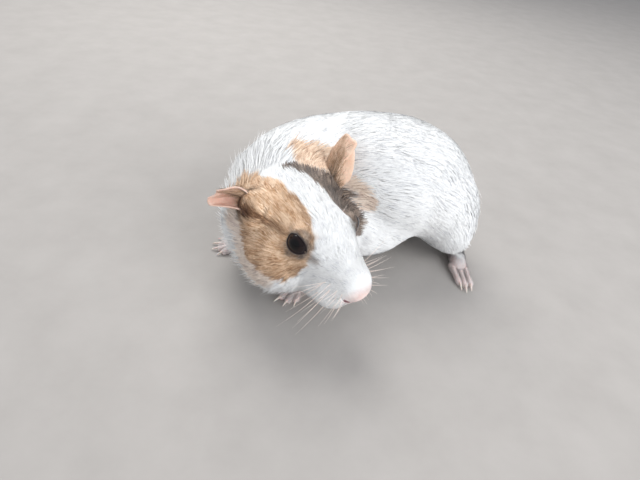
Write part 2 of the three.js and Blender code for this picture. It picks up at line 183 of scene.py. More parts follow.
# ---------------------------------------------------------------- curves and fields
def spline(points, t):
    """Points of a smooth centripetal curve through the given ones, at shares t of its length in stations."""
    p = np.array(points, float)
    p = np.vstack([2 * p[0] - p[1], p, 2 * p[-1] - p[-2]])
    s = np.clip(np.asarray(t, float), 0, 1) * (len(p) - 3)
    i = np.minimum(s.astype(int), len(p) - 4)
    w = (s - i)[:, None]
    a, b, c, d = p[i], p[i + 1], p[i + 2], p[i + 3]
    ab, bc, cd = (
        np.maximum(np.linalg.norm(y - x, axis=1), 1e-6)[:, None] ** 0.5 for x, y in ((a, b), (b, c), (c, d))
    )
    start = ((b - a) / ab - (c - a) / (ab + bc) + (c - b) / bc) * bc
    stop = ((c - b) / bc - (d - b) / (bc + cd) + (d - c) / cd) * bc
    return b + w * (start + w * (-3 * b + 3 * c - 2 * start - stop + w * (2 * b - 2 * c + start + stop)))


def ellipsoid(p, at, half):
    q = (p - np.asarray(at, p.dtype)) / np.asarray(half, p.dtype)
    near = np.sqrt(np.einsum("ij,ij->i", q, q))
    q /= np.asarray(half, p.dtype)
    steep = np.sqrt(np.einsum("ij,ij->i", q, q))
    return near * (near - 1) / np.maximum(steep, 1e-9)


def smooth_min(a, b, soft):
    h = np.maximum(soft - np.abs(a - b), 0) / soft
    return np.minimum(a, b) - h * h * soft / 4


def smooth_max(a, b, soft):
    return -smooth_min(-a, -b, soft)


def blended(p, masses, soft):
    """The field of ellipsoids, each a middle and half sizes, that run softly into one another."""
    return reduce(lambda a, b: smooth_min(a, b, soft), [ellipsoid(p, at, half) for at, half in masses])


def distance(p, at):
    return np.linalg.norm(p - at, axis=1)


def closest(p, spots):
    return np.min([distance(p, spot) for spot in spots], axis=0)


def line_distance(p, points, widths=None):
    """Distance to an open line of straight stretches, less the half widths given at its points."""
    points = np.asarray(points, float)
    widths = np.zeros(len(points)) if widths is None else widths
    gaps = []
    for a, b, wide, next_wide in zip(points, points[1:], widths, widths[1:]):
        along = np.clip((p - a) @ (b - a) / ((b - a) @ (b - a) + 1e-9), 0, 1)
        gaps.append(distance(p, a + along[:, None] * (b - a)) - wide - (next_wide - wide) * along)
    return np.min(gaps, axis=0)


def smooth(x, low, high):
    """0 below low, 1 above high and a soft step between; low may be the larger."""
    w = np.clip((x - low) / (high - low), 0, 1)
    return w * w * (3 - 2 * w)


SPINE_STEPS = np.linspace(0, 1, 28)
SPINE_LINE = spline([at for at, _, _ in SPINE], SPINE_STEPS)
SPINE_SIZES = spline([(wide, high, 0) for _, wide, high in SPINE], SPINE_STEPS)


def trunk_field(p):
    field = np.min([ellipsoid(p, at, (w, w, h)) for at, (w, h, _) in zip(SPINE_LINE, SPINE_SIZES)], axis=0)
    for at, half in BODY_MASSES.values():
        field = smooth_min(field, ellipsoid(p, at, half), BODY_BLEND)
    return field


def head_field(p):
    return blended(to_head(p), HEAD_MASSES.values(), FACE_BLEND)


# ---------------------------------------------------------------- the skin's own shape
ORBIT = 0.9  # how far the flesh round an eye stands out of the eyeball
ORBIT_FRONT = 3.75  # where that flesh ends in front of the eyeball's middle, above and below the opening
ORBIT_CORNER = 0.125  # how fast that end falls back towards the corners of the eye
ORBIT_DEPTH = 0.55  # the coat's depth close to an eye
HEAD_DEPTH = ([-70, -55, -42, -30, -18, -9, -3], [2.1, 1.9, 1.6, 1.2, 0.8, 0.4, 0.1])  # and along the head
# The way the eyes look, in the head's frame.
GAZE = {"left": (0.27, 0.87, 0.42), "right": (0.27, -0.87, 0.42)}


def unit(v):
    return v / np.maximum(np.linalg.norm(v, axis=-1, keepdims=True), 1e-9)


def eye_frame(side):
    """Outward, forward and upward ways of an eye; forward runs along the slit between the lids."""
    out = unit(from_head_way(GAZE[side]))
    fore = from_head_way((1, 0, -0.13))
    fore = unit(fore - out * (fore @ out))
    up = np.cross(out, fore) if side == "right" else np.cross(fore, out)
    return out, fore, up if up[2] > 0 else -up


def face_field(p):
    """The head with the flesh of its orbits, which is open in front of the eyeball."""
    field = head_field(p)
    for side, eye in EYE_PLACES.items():
        out, fore, _ = (way.astype(p.dtype) for way in eye_frame(side))
        from_eye = p - eye.astype(p.dtype)
        orbit = np.linalg.norm(from_eye, axis=1) - EYE_RADIUS - ORBIT
        front = from_eye @ out - ORBIT_FRONT + ORBIT_CORNER * (from_eye @ fore) ** 2
        field = smooth_min(field, smooth_max(orbit, front, 0.7), 3)
    return field


def coat_field(p):
    """Where the tips of the coat lie."""
    return smooth_min(trunk_field(p), face_field(p), BODY_BLEND)


def coat_depth(p):
    """How far the skin lies under the tips of the coat: nothing on the nose, most on the trunk."""
    on_head = np.interp(to_head(p)[:, 0], *HEAD_DEPTH)
    head = smooth(head_field(p), 9, 2)
    depth = COAT_DEPTH + (on_head - COAT_DEPTH) * head
    for eye in EYE_PLACES.values():
        depth = depth + (ORBIT_DEPTH - depth) * smooth(distance(p, eye), 13, 6)
    return depth


def chain(p, stations, count):
    """A limb of ellipsoids along a smooth line: each station is (middle, half width[, half height])."""
    t = np.linspace(0, 1, count)
    line = spline([s[0] for s in stations], t)
    sizes = spline([(s[1], s[-1], 0) for s in stations], t)
    return blended(p, [(at, (wide, wide, high)) for at, (wide, high, _) in zip(line, sizes)], LIMB_BLEND)


def toe_stations(root, tip, hind):
    """A toe from where it leaves the foot, over its knuckles, to the pad under its claw."""
    root, tip = np.array([*root, 0.0]), np.array([*tip, 0.0])
    width, rise, back = (1.3, 3.5, 6.5) if hind else (1.15, 2.8, 2.4)
    root = root - unit(tip - root) * back
    shape = [(0, rise, 1.0), (0.35, 0.96 * rise, 0.98), (0.66, 0.78 * rise, 0.86), (0.84, 0.66 * rise, 0.9),
             (0.97, 0.5 * rise, 0.66)]
    return [(root + (tip - root) * s + (0, 0, z / 2), width * w, z / 2 + 0.1) for s, z, w in shape]


def feet_field(p):
    field = np.full(len(p), 30.0, p.dtype)
    for name in SOLES:
        tips = [(*tip, 0) for _, tip in TOES[name]]
        points = np.array([at for at, *_ in SHANKS[name] + SOLES[name]] + tips, float)
        near = np.all((p > points.min(0) - 14) & (p < points.max(0) + 14), axis=1)
        q = p[near]
        if not len(q):
            continue
        leg = chain(q, [(at, wide - 1.0, high - 1.0) for at, wide, high in SHANKS[name]], 6)
        kept = SOLES[name][:-1]
        sole = [((*at[:2], at[2] * 0.85), wide - s, at[2] * 0.85 + 0.4)
                for (at, wide), s in zip(kept, np.linspace(FOOT_DEPTH, 1.1, len(kept)))]
        foot = smooth_min(leg, chain(q, sole, 7), 3)
        for root, tip in TOES[name]:
            toe = chain(q, toe_stations(root, tip, name.startswith("hind")), 10)
            foot = smooth_min(foot, toe, TOE_BLEND)
        field[near] = foot
    return field


# Nose and mouth, in the head's frame: grooves as points with half widths, laid on the face and cut softly.
NOSTRIL = [
    ((2.2, 2.2, -6.0), 0.12), ((1.8, 3.4, -5.7), 0.2), ((1.0, 4.8, -5.1), 0.4),
    ((-0.2, 6.0, -4.5), 0.75), ((-1.4, 7.1, -3.8), 0.85), ((-2.4, 7.9, -3.1), 0.45),
]
PHILTRUM = [((3, 0, -2.6), 0.1), ((3, 0, -4.4), 0.22), ((2, 0, -7.6), 0.28), ((0, 0, -11.0), 0.4)]
MOUTH = [((-0.5, 0, -11.5), 0.45), ((-5, 4.5, -15), 0.6), ((-10, 8.5, -16), 0.5), ((-15, 12, -15), 0.3)]
MUZZLE_HEART = np.array([-12, 0, -3.0])
GROOVE_POINTS, GROOVE_SUNK = 13, 0.25


def mirrored(stations):
    return [((x, -y, z), *sizes) for (x, y, z), *sizes in stations]


def laid(stations):
    """A groove's line moved towards the muzzle's heart until it lies on the face: points and half widths."""
    share = np.linspace(0, 1, GROOVE_POINTS)
    far = spline([at for at, _ in stations], share)
    ways = unit(far - MUZZLE_HEART)
    reach = np.linspace(0, 1.4, 281)[:, None, None] * np.linalg.norm(far - MUZZLE_HEART, axis=1)[:, None]
    tried = MUZZLE_HEART + ways * reach
    inside = coat_field(from_head(tried.reshape(-1, 3))).reshape(tried.shape[:2]) < 0
    last = inside.shape[0] - 1 - np.argmax(inside[::-1], axis=0)
    points = tried[last, np.arange(GROOVE_POINTS)] - ways * GROOVE_SUNK
    return points, np.interp(share, np.linspace(0, 1, len(stations)), [w for _, w in stations])


GROOVES = [laid(line) for line in (NOSTRIL, mirrored(NOSTRIL), PHILTRUM, MOUTH, mirrored(MOUTH))]


def tip_field(p):
    """Where the tips of the coat lie, the feet's too."""
    return smooth_min(coat_field(p), feet_field(p) - FOOT_DEPTH, 3)


def groove_depth(q):
    """How far inside the nearest groove of the nose and mouth points of the head's frame are."""
    return np.max([-line_distance(q, *line) for line in GROOVES], axis=0)


def skin_field(p, fine=True):
    field = coat_field(p) + coat_depth(p)
    field = smooth_min(field, feet_field(p), 3)
    if fine:
        q = to_head(p)
        near = (q[:, 0] > -21) & (np.abs(q[:, 1]) < 15) & (q[:, 2] < 6) & (field < 4)
        if near.any():
            part, value = q[near], field[near]
            for line in GROOVES:
                value = smooth_max(value, -line_distance(part, *line), 0.6)
            field = field.copy()
            field[near] = value
    return np.maximum(field, 0.02 - p[:, 2])


# ---------------------------------------------------------------- meshing
CHUNK = 200_000


def resampled(values, axis, times):
    """A grid of values made finer along an axis by straight lines between them."""
    count = values.shape[axis]
    x = np.arange((count - 1) * times + 1) / times
    i = np.minimum(x.astype(int), count - 2)
    shape = [1, 1, 1]
    shape[axis] = -1
    w = (x - i).reshape(shape).astype(values.dtype)
    return np.take(values, i, axis) * (1 - w) + np.take(values, i + 1, axis) * w


def in_chunks(function, p):
    """The function of many points, worked out for some of them at a time."""
    return np.concatenate([function(p[i : i + CHUNK]) for i in range(0, len(p), CHUNK)])


def settled(field, p, turns, reach, step=0.05):
    """Points moved down the slope onto the field's zero, by at most `reach` a turn."""
    for _ in range(turns):
        value = in_chunks(field, p)
        ways = [in_chunks(field, p + step * axis) - value for axis in np.eye(3)]
        slope = np.stack(ways, axis=1) / step
        steep = np.maximum(np.einsum("ij,ij->i", slope, slope), 0.05)
        limit = reach / np.sqrt(steep)
        p = p - slope * np.clip(value / steep, -limit, limit)[:, None]
    return p


def surface_net(field, low, high, cell):
    """One point in each cell that the surface crosses and a quad round each crossed edge."""
    times = 4
    # the field on a coarse grid, made finer by straight lines, and worked out again near the surface
    count = np.ceil((np.array(high) - low) / (cell * times)).astype(int) + 1
    axes = [low[a] + cell * times * np.arange(count[a]) for a in range(3)]
    coarse = np.stack(np.meshgrid(*axes, indexing="ij"), -1).reshape(-1, 3)
    grid = in_chunks(field, coarse).reshape(count)
    for axis in range(3):
        grid = resampled(grid, axis, times)
    size = np.array(grid.shape)
    near = np.argwhere(np.abs(grid) < 3.5 * cell + 1.5)
    grid[tuple(near.T)] = in_chunks(field, np.array(low) + cell * near)
    inside = grid < 0

    cells = tuple(size - 1)
    corners = [(i, j, k) for i in (0, 1) for j in (0, 1) for k in (0, 1)]

    def corner(array, c):
        return array[c[0] : c[0] + cells[0], c[1] : c[1] + cells[1], c[2] : c[2] + cells[2]]

    # the mean of the places where a crossed cell's edges meet the surface
    filled = sum(corner(inside, c).astype(np.int8) for c in corners)
    crossed = np.argwhere((filled > 0) & (filled < 8))
    index = np.full(cells, -1)
    index[tuple(crossed.T)] = np.arange(len(crossed))
    total, number = np.zeros((len(crossed), 3)), np.zeros(len(crossed))
    for a in corners:
        for axis in range(3):
            if a[axis]:
                continue
            b = tuple(a[n] + (n == axis) for n in range(3))
            va, vb = (grid[tuple((crossed + c).T)] for c in (a, b))
            cut = (va < 0) != (vb < 0)
            t = va[cut] / (va[cut] - vb[cut])
            spot = np.array(a, float) + np.eye(3)[axis] * t[:, None]
            total[cut] += spot
            number[cut] += 1
    points = np.array(low) + cell * (crossed + total / number[:, None])

    # the four cells round each crossed edge
    quads = []
    for axis in range(3):
        ahead = np.zeros(3, int)
        ahead[axis] = 1
        span = tuple(slice(1, size[n] - 1) for n in range(3))
        beyond = tuple(slice(1 + ahead[n], size[n] - 1 + ahead[n]) for n in range(3))
        here = inside[span]
        found = np.argwhere(here != inside[beyond]) + 1
        keep = here[tuple((found - 1).T)]
        u, w = np.eye(3, dtype=int)[(axis + 1) % 3], np.eye(3, dtype=int)[(axis + 2) % 3]
        corners = ((0, 0), (1, 0), (1, 1), (0, 1))
        ring = np.stack([index[tuple((found - a * u - b * w).T)] for a, b in corners], 1)
        ring[~keep] = ring[~keep][:, ::-1]
        quads.append(ring)
    return points, np.concatenate(quads)


def refined(mesh_points, quads, chosen):
    """The mesh with the faces whose middles are chosen cut finer, and the faces beside them made to match."""
    mesh = bmesh.new()
    corners = [mesh.verts.new(p) for p in mesh_points]
    for quad in quads:
        mesh.faces.new([corners[i] for i in quad])
    for choice in chosen:
        middles = np.array([face.calc_center_median() for face in mesh.faces])
        picked = choice(middles)
        edges = {edge for face, yes in zip(list(mesh.faces), picked) if yes for edge in face.edges}
        bmesh.ops.subdivide_edges(mesh, edges=list(edges), cuts=1, use_grid_fill=True)
    bmesh.ops.triangulate(mesh, faces=[face for face in mesh.faces if len(face.verts) > 4])
    mesh.verts.index_update()
    points = np.array([vert.co for vert in mesh.verts])
    faces = [[vert.index for vert in face.verts] for face in mesh.faces]
    mesh.free()
    return points, faces


# ---------------------------------------------------------------- markings, the same for skin and coat
WAVES = np.random.default_rng(3)
WAVE_COUNT = 6  # in a ripple, out of those below
WAVE_WAYS = WAVES.normal(size=(24, 3))
WAVE_WAYS /= np.linalg.norm(WAVE_WAYS, axis=1)[:, None]
WAVE_STARTS = WAVES.uniform(0, 2 * np.pi, 24)


def ripple(p, length, first=0):
    """Smooth noise of about -1 to 1 with bumps about `length` apart, of the waves from `first` on."""
    some = slice(first, first + WAVE_COUNT)
    ways = WAVE_WAYS[some] * (2 * np.pi / length)
    lengths = np.linspace(0.7, 1.3, WAVE_COUNT)[:, None]
    waves = np.sin(p @ (ways * lengths).T + WAVE_STARTS[some])
    return waves.sum(1) / np.sqrt(WAVE_COUNT / 2) / 1.4


def ripples(p, length):
    """Three ripples that have nothing to do with each other, as a way for each point."""
    return np.stack([ripple(p, length, first) for first in (0, 6, 12)], 1)


# Edges of the patches, in the head's frame. On the right the ginger lies between the blaze (y at x) and the
# cheek (z at x). On the left the dark band lies between two edges (y at x) and below a third (z at x).
BLAZE_EDGE = ([-84, -76, -66, -61, -55, -49, -44, -39, -35, -30.5, -26, -22],
              [-9.9, -9.9, -8.1, -7.2, -6.8, -7.1, -6.2, -5.9, -7.1, -8.7, -10.4, -13])
CHEEK_EDGE = ([-80, -68, -59.5, -54.5, -50, -41, -31, -24.8], [0, 1.2, 0.7, -1.6, -5.4, -7.2, -7.8, -8.8])
BAND_NEAR = ([-66, -61.6, -56.6, -50.3, -45.3, -39.4, -34, -29, -26, -24],
             [0.0, 4.0, 7.3, 8.5, 10.1, 10.5, 9.5, 10.5, 12.5, 16])
BAND_FAR = ([-66, -63, -59, -52, -46.5, -44, -36, -31.6, -28.4, -25],
            [4, 8.5, 15, 22, 32, 35, 36, 36, 28, 18])
BAND_ROOF = ([-46, -43, -37.5, -34.7, -30.6], [12, 11, 7.5, 3.5, -1])
# Ginger behind the left ear: on the nape between two edges (x at y), round the ear's root, on the shoulder.
NAPE_BACK = ([8, 14, 20, 25, 30, 36], [-71, -75, -74, -71, -68, -64])
NAPE_FRONT = ([8, 16, 24, 30, 36], [-60, -52, -52, -58, -64])
SHOULDER_PATCH = [(-45.5, 32.5, 11.5), (-41.5, 34.7, 11), (-35.5, 36, 6)]
# the last share, of cream below the right cheek's patch, is partly the hair's own cream and partly painted
# shade of the jaw
NAPE_SHARE, SHOULDER_SHARE, CREAM_AND_SHADE_SHARE = 0.84, 0.6, 0.55
# Darker hair from the right ear's root to the eye: its line, and its half width and strength at x.
STREAK = [(-58, -25.5, 8), (-50.5, -26, 10.5), (-46.4, -24.2, 11), (-42.6, -20.4, 9.8), (-37.5, -17.2, 8.6),
          (-35, -16, 9)]
STREAK_WIDTH = ([-57, -51, -44, -35], [4.0, 3.2, 2.0, 1.0])
STREAK_STRENGTH = ([-54, -46, -35], [1.0, 0.9, 0.65])


def markings(p):
    """Shares of tan (its cream part partly painted shade on the jaw), dark and bare pink skin, and of streak
    (partly painted shade of the lower right cheek), grey (round the eyes), and painted shade in the nostrils
    and mouth.
    """
    q = to_head(p)
    q = q + (ripples(p, 5) * 0.45) * smooth(q[:, 0], -14, -22)[:, None]
    x, y, z = q.T

    # right side of the face: from the blaze down to the cheek and back behind the ear
    blaze, cheek = np.interp(x, *BLAZE_EDGE), np.interp(x, *CHEEK_EDGE)
    front = -21.8 + 0.25 * np.minimum(z, 0) - x
    face = np.minimum.reduce([blaze - y, z - cheek, front, x + 75])
    tan = smooth(face, -0.7, 0.7)
    # cream on the jaw below the patch: partly the hair's own cream tint and partly painted shade of the jaw
    cream_and_shade = CREAM_AND_SHADE_SHARE * smooth(np.minimum.reduce([z - cheek + 8, front - 4, -y - 11, x + 66]), -3, 1)

    # left side: a dark band from the crown past the ear to the eye and the cheek
    near, far = np.interp(x, *BAND_NEAR), np.interp(x, *BAND_FAR)
    roof = np.interp(x, *BAND_ROOF) + 1.2 * np.maximum(30 - y, 0)
    band = np.minimum.reduce([y - near, far - y, z + 8.5, roof - z, x + 66, -24 - x])
    shoulder = 4.2 - line_distance(q, SHOULDER_PATCH)
    dark = smooth(band, -0.6, 0.6) * smooth(shoulder, 0.6, -0.6)
    nape = np.minimum.reduce([x - np.interp(y, *NAPE_BACK), np.interp(y, *NAPE_FRONT) - x,
                              y - 8.5 - 0.3 * np.maximum(-x - 71, 0), 35 - y])
    ear = 5.5 - np.hypot(x + 55, y - 24)
    for patch, share in ((np.maximum(nape, ear), NAPE_SHARE), (shoulder, SHOULDER_SHARE)):
        tan = np.maximum(tan, share * smooth(np.minimum(patch, z), -0.8, 0.8))
    tan = np.maximum(tan, cream_and_shade) * (1 - dark)

    # darker hair in the ginger: the streak, a brow over the eye, and the foot of the patch; the foot is
    # partly the hair's own darker tone and partly painted shade of the lower cheek
    streak_and_shade = smooth(line_distance(q, STREAK) - np.interp(x, *STREAK_WIDTH), 1.6, -1.6)
    streak_and_shade = streak_and_shade * np.interp(x, *STREAK_STRENGTH)
    brow = smooth(blaze - y, 4.0, 1.0) * smooth(y, 4, 0) * smooth(np.abs(x + 38), 14, 8) * smooth(z, 2, 8)
    # partly painted shade: darker downwards on the right cheek and along the patch's lower edge
    low = (0.34 + 0.2 * smooth(np.abs(face - 1.5), 2.5, 0)) * smooth(z, 6, -3) * (y < 0)
    streak_and_shade = np.maximum.reduce([streak_and_shade, 0.5 * brow, low])

    # grey round the eyes, drawn out towards the nose, and in flecks on the whiskers' pads
    grey = np.zeros(len(p))
    for side, eye in EYES.items():
        out = 1 if side == "left" else -1
        duct = [np.add(eye, at) for at in ((3.5, 0.5 * out, -1.5), (8.8, -2.2 * out, -3.2))]
        back = [np.add(eye, at) for at in ((-3.5, 1.0 * out, 1.0), (-6.8, -1.0 * out, 2.0))]
        pad = smooth(distance(q, (-6.5, 7.5 * out, -4.5)), 5, 2)
        grey = np.maximum.reduce([
            grey,
            smooth(distance(q, np.add(eye, (0.4, 0, 0))), 7.4, 5.2),
            0.7 * smooth(line_distance(q, duct), 3.4, 0.8),
            0.6 * smooth(line_distance(q, back), 2.2, 0.6),
            0.32 * pad * smooth(ripple(q, 1.6, 3), 0.1, 0.9),
        ])

    pink = smooth(np.linalg.norm((q - (0.5, 0, -2.5)) / (1, 1.3, 1), axis=1), 8.5, 3.5)
    feet = smooth(feet_field(p), 3.0, 0.5) * smooth(p[:, 2], 9, 3.5)
    # painted shade inside the grooves of the nostrils, philtrum and mouth
    inner = np.zeros(len(p))
    at_nose = x > -20
    inner[at_nose] = smooth(groove_depth(q[at_nose]), -0.12, 0.2)
    return np.stack([tan, dark, np.maximum(pink, feet), streak_and_shade * tan, grey, inner], 1)


# ---------------------------------------------------------------- Blender meshes
def added(name, data):
    """A new object in the scene."""
    thing = bpy.data.objects.new(name, data)
    bpy.context.scene.collection.objects.link(thing)
    return thing


def piece_from(name, points, faces, *nodes, slot, material, normals=None):
    """A mesh object in the row's frame that stands for CAD nodes, from points in drawing millimetres."""
    mesh = bpy.data.meshes.new(name)
    if isinstance(faces, np.ndarray):
        sides = faces.shape[1]
        mesh.vertices.add(len(points))
        mesh.loops.add(faces.size)
        mesh.polygons.add(len(faces))
        mesh.vertices.foreach_set("co", placed(points).astype(np.float32).ravel())
        mesh.polygons.foreach_set("loop_start", np.arange(0, faces.size, sides, dtype=np.int32))
        mesh.loops.foreach_set("vertex_index", faces.astype(np.int32).ravel())
        mesh.update(calc_edges=True)
    else:
        mesh.from_pydata(placed(points).tolist(), [], faces)
    mesh.polygons.foreach_set("use_smooth", np.ones(len(mesh.polygons), bool))
    if normals is not None:
        mesh.normals_split_custom_set_from_vertices(normals)
    thing = added(name, mesh)
    mesh.materials.append(material)
    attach(thing, "root")
    if nodes:
        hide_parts(*nodes)
    return thing


def give(mesh, name, shares, times=1):
    """A colour attribute with up to three shares, where `times` points one after another have the same."""
    colours = np.ones((len(shares), 4), np.float32)
    colours[:, :3] = 0
    colours[:, : shares.shape[1]] = shares
    layer = mesh.attributes.new(name, "FLOAT_COLOR", "POINT")
    layer.data.foreach_set("color", np.repeat(colours, times, 0).ravel())


def give_markings(mesh, shares, times=1):
    give(mesh, "markings", shares[:, :3], times)
    give(mesh, "accents_and_shade", shares[:, 3:], times)


def read(items, name, width, kind=np.float32):
    """A value of each of a mesh's items, in rows of `width` numbers."""
    values = np.empty(len(items) * width, kind)
    items.foreach_get(name, values)
    return values.reshape(-1, width)


def unwrap(thing):
    """The bake's map: an unwrap of the piece's own shape."""
    thing.data.uv_layers.new(name="OFBake")
    for other in bpy.context.selected_objects:
        other.select_set(False)
    thing.select_set(True)
    bpy.context.view_layer.objects.active = thing
    bpy.ops.object.mode_set(mode="EDIT")
    bpy.ops.mesh.select_all(action="SELECT")
    bpy.ops.uv.smart_project(angle_limit=1.15, island_margin=0.002)
    bpy.ops.object.mode_set(mode="OBJECT")
    thing.select_set(False)


def small_piece(name, points, faces, *nodes, slot, material, shares, mapped=False):
    """A closed piece with its faces turned outward. `shares` names its attribute and gives its numbers."""
    thing = piece_from(name, points, faces, *nodes, slot=slot, material=material)
    give(thing.data, *shares)
    mesh = bmesh.new()
    mesh.from_mesh(thing.data)
    bmesh.ops.recalc_face_normals(mesh, faces=mesh.faces)
    mesh.to_mesh(thing.data)
    mesh.free()
    if mapped:
        unwrap(thing)


# ---------------------------------------------------------------- materials
def tone(red, green, blue):
    """An sRGB colour of 0 to 255 as linear numbers."""
    c = np.array([red, green, blue]) / 255
    return (*np.where(c <= 0.04045, c / 12.92, ((c + 0.055) / 1.055) ** 2.4), 1.0)


WHITE_HAIR, WHITE_ROOT, WHITE_SHADE = tone(251, 252, 251), tone(244, 243, 240), tone(206, 208, 212)
TAN_LIGHT, TAN_DEEP, TAN_STRAND = tone(252, 224, 194), tone(207, 160, 117), tone(148, 100, 66)
# brown of the streak's own hair, also used as painted shade at the ears' roots and on the lower right cheek
BROWN_STREAK_AND_SHADE = tone(96, 64, 44)
DARK_DEEP, DARK_LIGHT, RING_GREY = tone(90, 78, 71), tone(182, 164, 149), tone(92, 79, 70)
PINK_HAIR, BARE_PINK, BARE_DEEP = tone(232, 219, 216), tone(246, 229, 223), tone(234, 204, 197)
# a dark rose painted inside the nostrils, philtrum and mouth as their shade
ROSE_GROOVE_SHADE = tone(120, 78, 84)
EAR_RIM = tone(236, 208, 192)
# Ear leather: the two tones it is mottled with, and the shade of its veins.
EAR_TONES = {
    "left": (tone(238, 208, 184), tone(226, 190, 164), tone(204, 166, 138)),
    "right": (tone(214, 180, 162), tone(198, 160, 144), tone(158, 116, 102)),
}
IRIS_DARK, IRIS_BROWN, EYE_WHITE, PUPIL = tone(18, 9, 10), tone(30, 17, 16), tone(30, 22, 24), tone(5, 4, 5)
LID_DEEP, LID_LIGHT, LID_RIM = tone(70, 60, 55), tone(108, 95, 86), tone(38, 29, 30)
CLAW_ROOT, CLAW_TIP, CLAW_GRAIN = tone(232, 206, 196), tone(238, 228, 218), tone(204, 184, 170)
WHISKER_LIGHT, WHISKER_DEEP, WHISKER_TIP = tone(246, 226, 214), tone(238, 214, 202), tone(250, 238, 228)
FLOOR_DEEP, FLOOR_LIGHT = tone(165, 161, 157), tone(172, 168, 164)


class Nodes:
    """Short ways to add nodes to a new material."""

    def __init__(self, name, roughness, **sockets):
        self.material = bpy.data.materials.new(name)
        self.material.use_nodes = True
        self.tree = self.material.node_tree
        self.shader = self.tree.nodes["Principled BSDF"]
        self.shader.inputs["Roughness"].default_value = roughness
        for socket, value in sockets.items():
            self.shader.inputs[socket.replace("_", " ")].default_value = value

    def add(self, kind, sockets, **settings):
        """The outputs of a new node, whose sockets get numbers, colours or other nodes' outputs."""
        node = self.tree.nodes.new(kind)
        for key, value in settings.items():
            setattr(node, key, value)
        for socket, value in sockets.items():
            if isinstance(value, bpy.types.NodeSocket):
                self.tree.links.new(value, node.inputs[socket])
            else:
                node.inputs[socket].default_value = value
        return node.outputs

    def attribute(self, name):
        colour = self.add("ShaderNodeAttribute", {}, attribute_name=name)["Color"]
        return self.add("ShaderNodeSeparateColor", {0: colour})

    def noise(self, scale, detail=3.0, roughness=0.6, stretch=None):
        place = self.add("ShaderNodeTexCoord", {})["Object"]
        if stretch:
            place = self.add("ShaderNodeMapping", {"Vector": place, "Scale": stretch})[0]
        sockets = {"Vector": place, "Scale": scale, "Detail": detail, "Roughness": roughness}
        return self.add("ShaderNodeTexNoise", sockets)["Fac"]

    def cells(self, scale):
        place = self.add("ShaderNodeTexCoord", {})["Object"]
        return self.add("ShaderNodeTexVoronoi", {"Vector": place, "Scale": scale})["Distance"]

    def maths(self, operation, a, b):
        return self.add("ShaderNodeMath", {0: a, 1: b}, operation=operation)[0]

    def spread(self, value, low, high, to_low=0.0, to_high=1.0):
        sockets = {"Value": value, "From Min": low, "From Max": high, "To Min": to_low, "To Max": to_high}
        return self.add("ShaderNodeMapRange", sockets)[0]

    def mix(self, share, a, b):
        return self.add("ShaderNodeMix", {0: share, 6: a, 7: b}, data_type="RGBA")[2]

    def mottled(self, scale, a, b, low=0.35, high=0.65, detail=4):
        """One colour in patches on another; low and high set how hard their edges are."""
        return self.mix(self.spread(self.noise(scale, detail), low, high), a, b)

    def bump(self, height, strength, distance):
        sockets = {"Height": height, "Strength": strength, "Distance": distance}
        self.tree.links.new(self.add("ShaderNodeBump", sockets)[0], self.shader.inputs["Normal"])

    def colour(self, value):
        self.tree.links.new(value, self.shader.inputs["Base Color"])
        return self.material


def hair_colour(n, shade, along):
    """White, tan or dark hair. `shade` differs between locks and `along` runs from root to tip."""
    tan, dark, bare = n.attribute("markings")
    streak_and_shade, grey, _ = n.attribute("accents_and_shade")
    white = n.mix(n.spread(along, 0.0, 0.5), WHITE_ROOT, WHITE_HAIR)
    white = n.mix(n.spread(shade, 0.3, 0.0), white, WHITE_SHADE)
    tan_hair = n.mix(n.spread(shade, 0.15, 0.9), TAN_DEEP, TAN_LIGHT)
    tan_hair = n.mix(n.spread(shade, 0.2, 0.1, 0, 0.65), tan_hair, TAN_STRAND)
    # brown hair of the streak, which also carries the painted shade of the lower right cheek
    brown = n.mix(n.spread(shade, 0.5, 1.0), BROWN_STREAK_AND_SHADE, TAN_DEEP)
    tan_hair = n.mix(streak_and_shade, tan_hair, brown)
    dark_hair = n.mix(n.spread(shade, 0.35, 1.0), DARK_DEEP, DARK_LIGHT)
    mixed = n.mix(tan, white, tan_hair)
    mixed = n.mix(dark, mixed, dark_hair)
    mixed = n.mix(n.maths("MULTIPLY", bare, 0.75), mixed, PINK_HAIR)
    return n.mix(grey, mixed, n.mix(n.spread(shade, 0.3, 1.0), RING_GREY, DARK_LIGHT))


def coat_material():
    n = Nodes("coat", 0.62, Sheen_Weight=0.2, Sheen_Roughness=0.5, Specular_IOR_Level=0.3)
    shade, along, _ = n.attribute("lock")
    fleck = n.noise(900, 2)
    shade = n.maths("ADD", shade, n.spread(fleck, 0.3, 0.7, -0.12, 0.12))
    return n.colour(hair_colour(n, shade, along))


def skin_material():
    n = Nodes("skin", 0.6, Subsurface_Weight=0.08, Subsurface_Scale=0.002, Specular_IOR_Level=0.35)
    n.shader.inputs["Subsurface Radius"].default_value = (1.0, 0.35, 0.25)
    bare = n.attribute("markings")[2]
    streaks = n.noise(1400, 4, 0.7)
    under = hair_colour(n, n.spread(streaks, 0.3, 0.7, 0.3), streaks)
    flush = n.mottled(260, BARE_PINK, BARE_DEEP, high=0.7)
    pores = n.maths("MULTIPLY", n.cells(1500), n.noise(500, 3))
    wrinkles = n.noise(700, 5, 0.65, (1, 1, 2.2))
    n.bump(n.maths("ADD", n.spread(pores, 0, 0.6), wrinkles), 0.35, 0.0004)
    # painted shade in the nostrils, philtrum and mouth, in a dark rose
    inner = n.attribute("accents_and_shade")[2]
    return n.colour(n.mix(inner, n.mix(bare, under, flush), ROSE_GROOVE_SHADE))


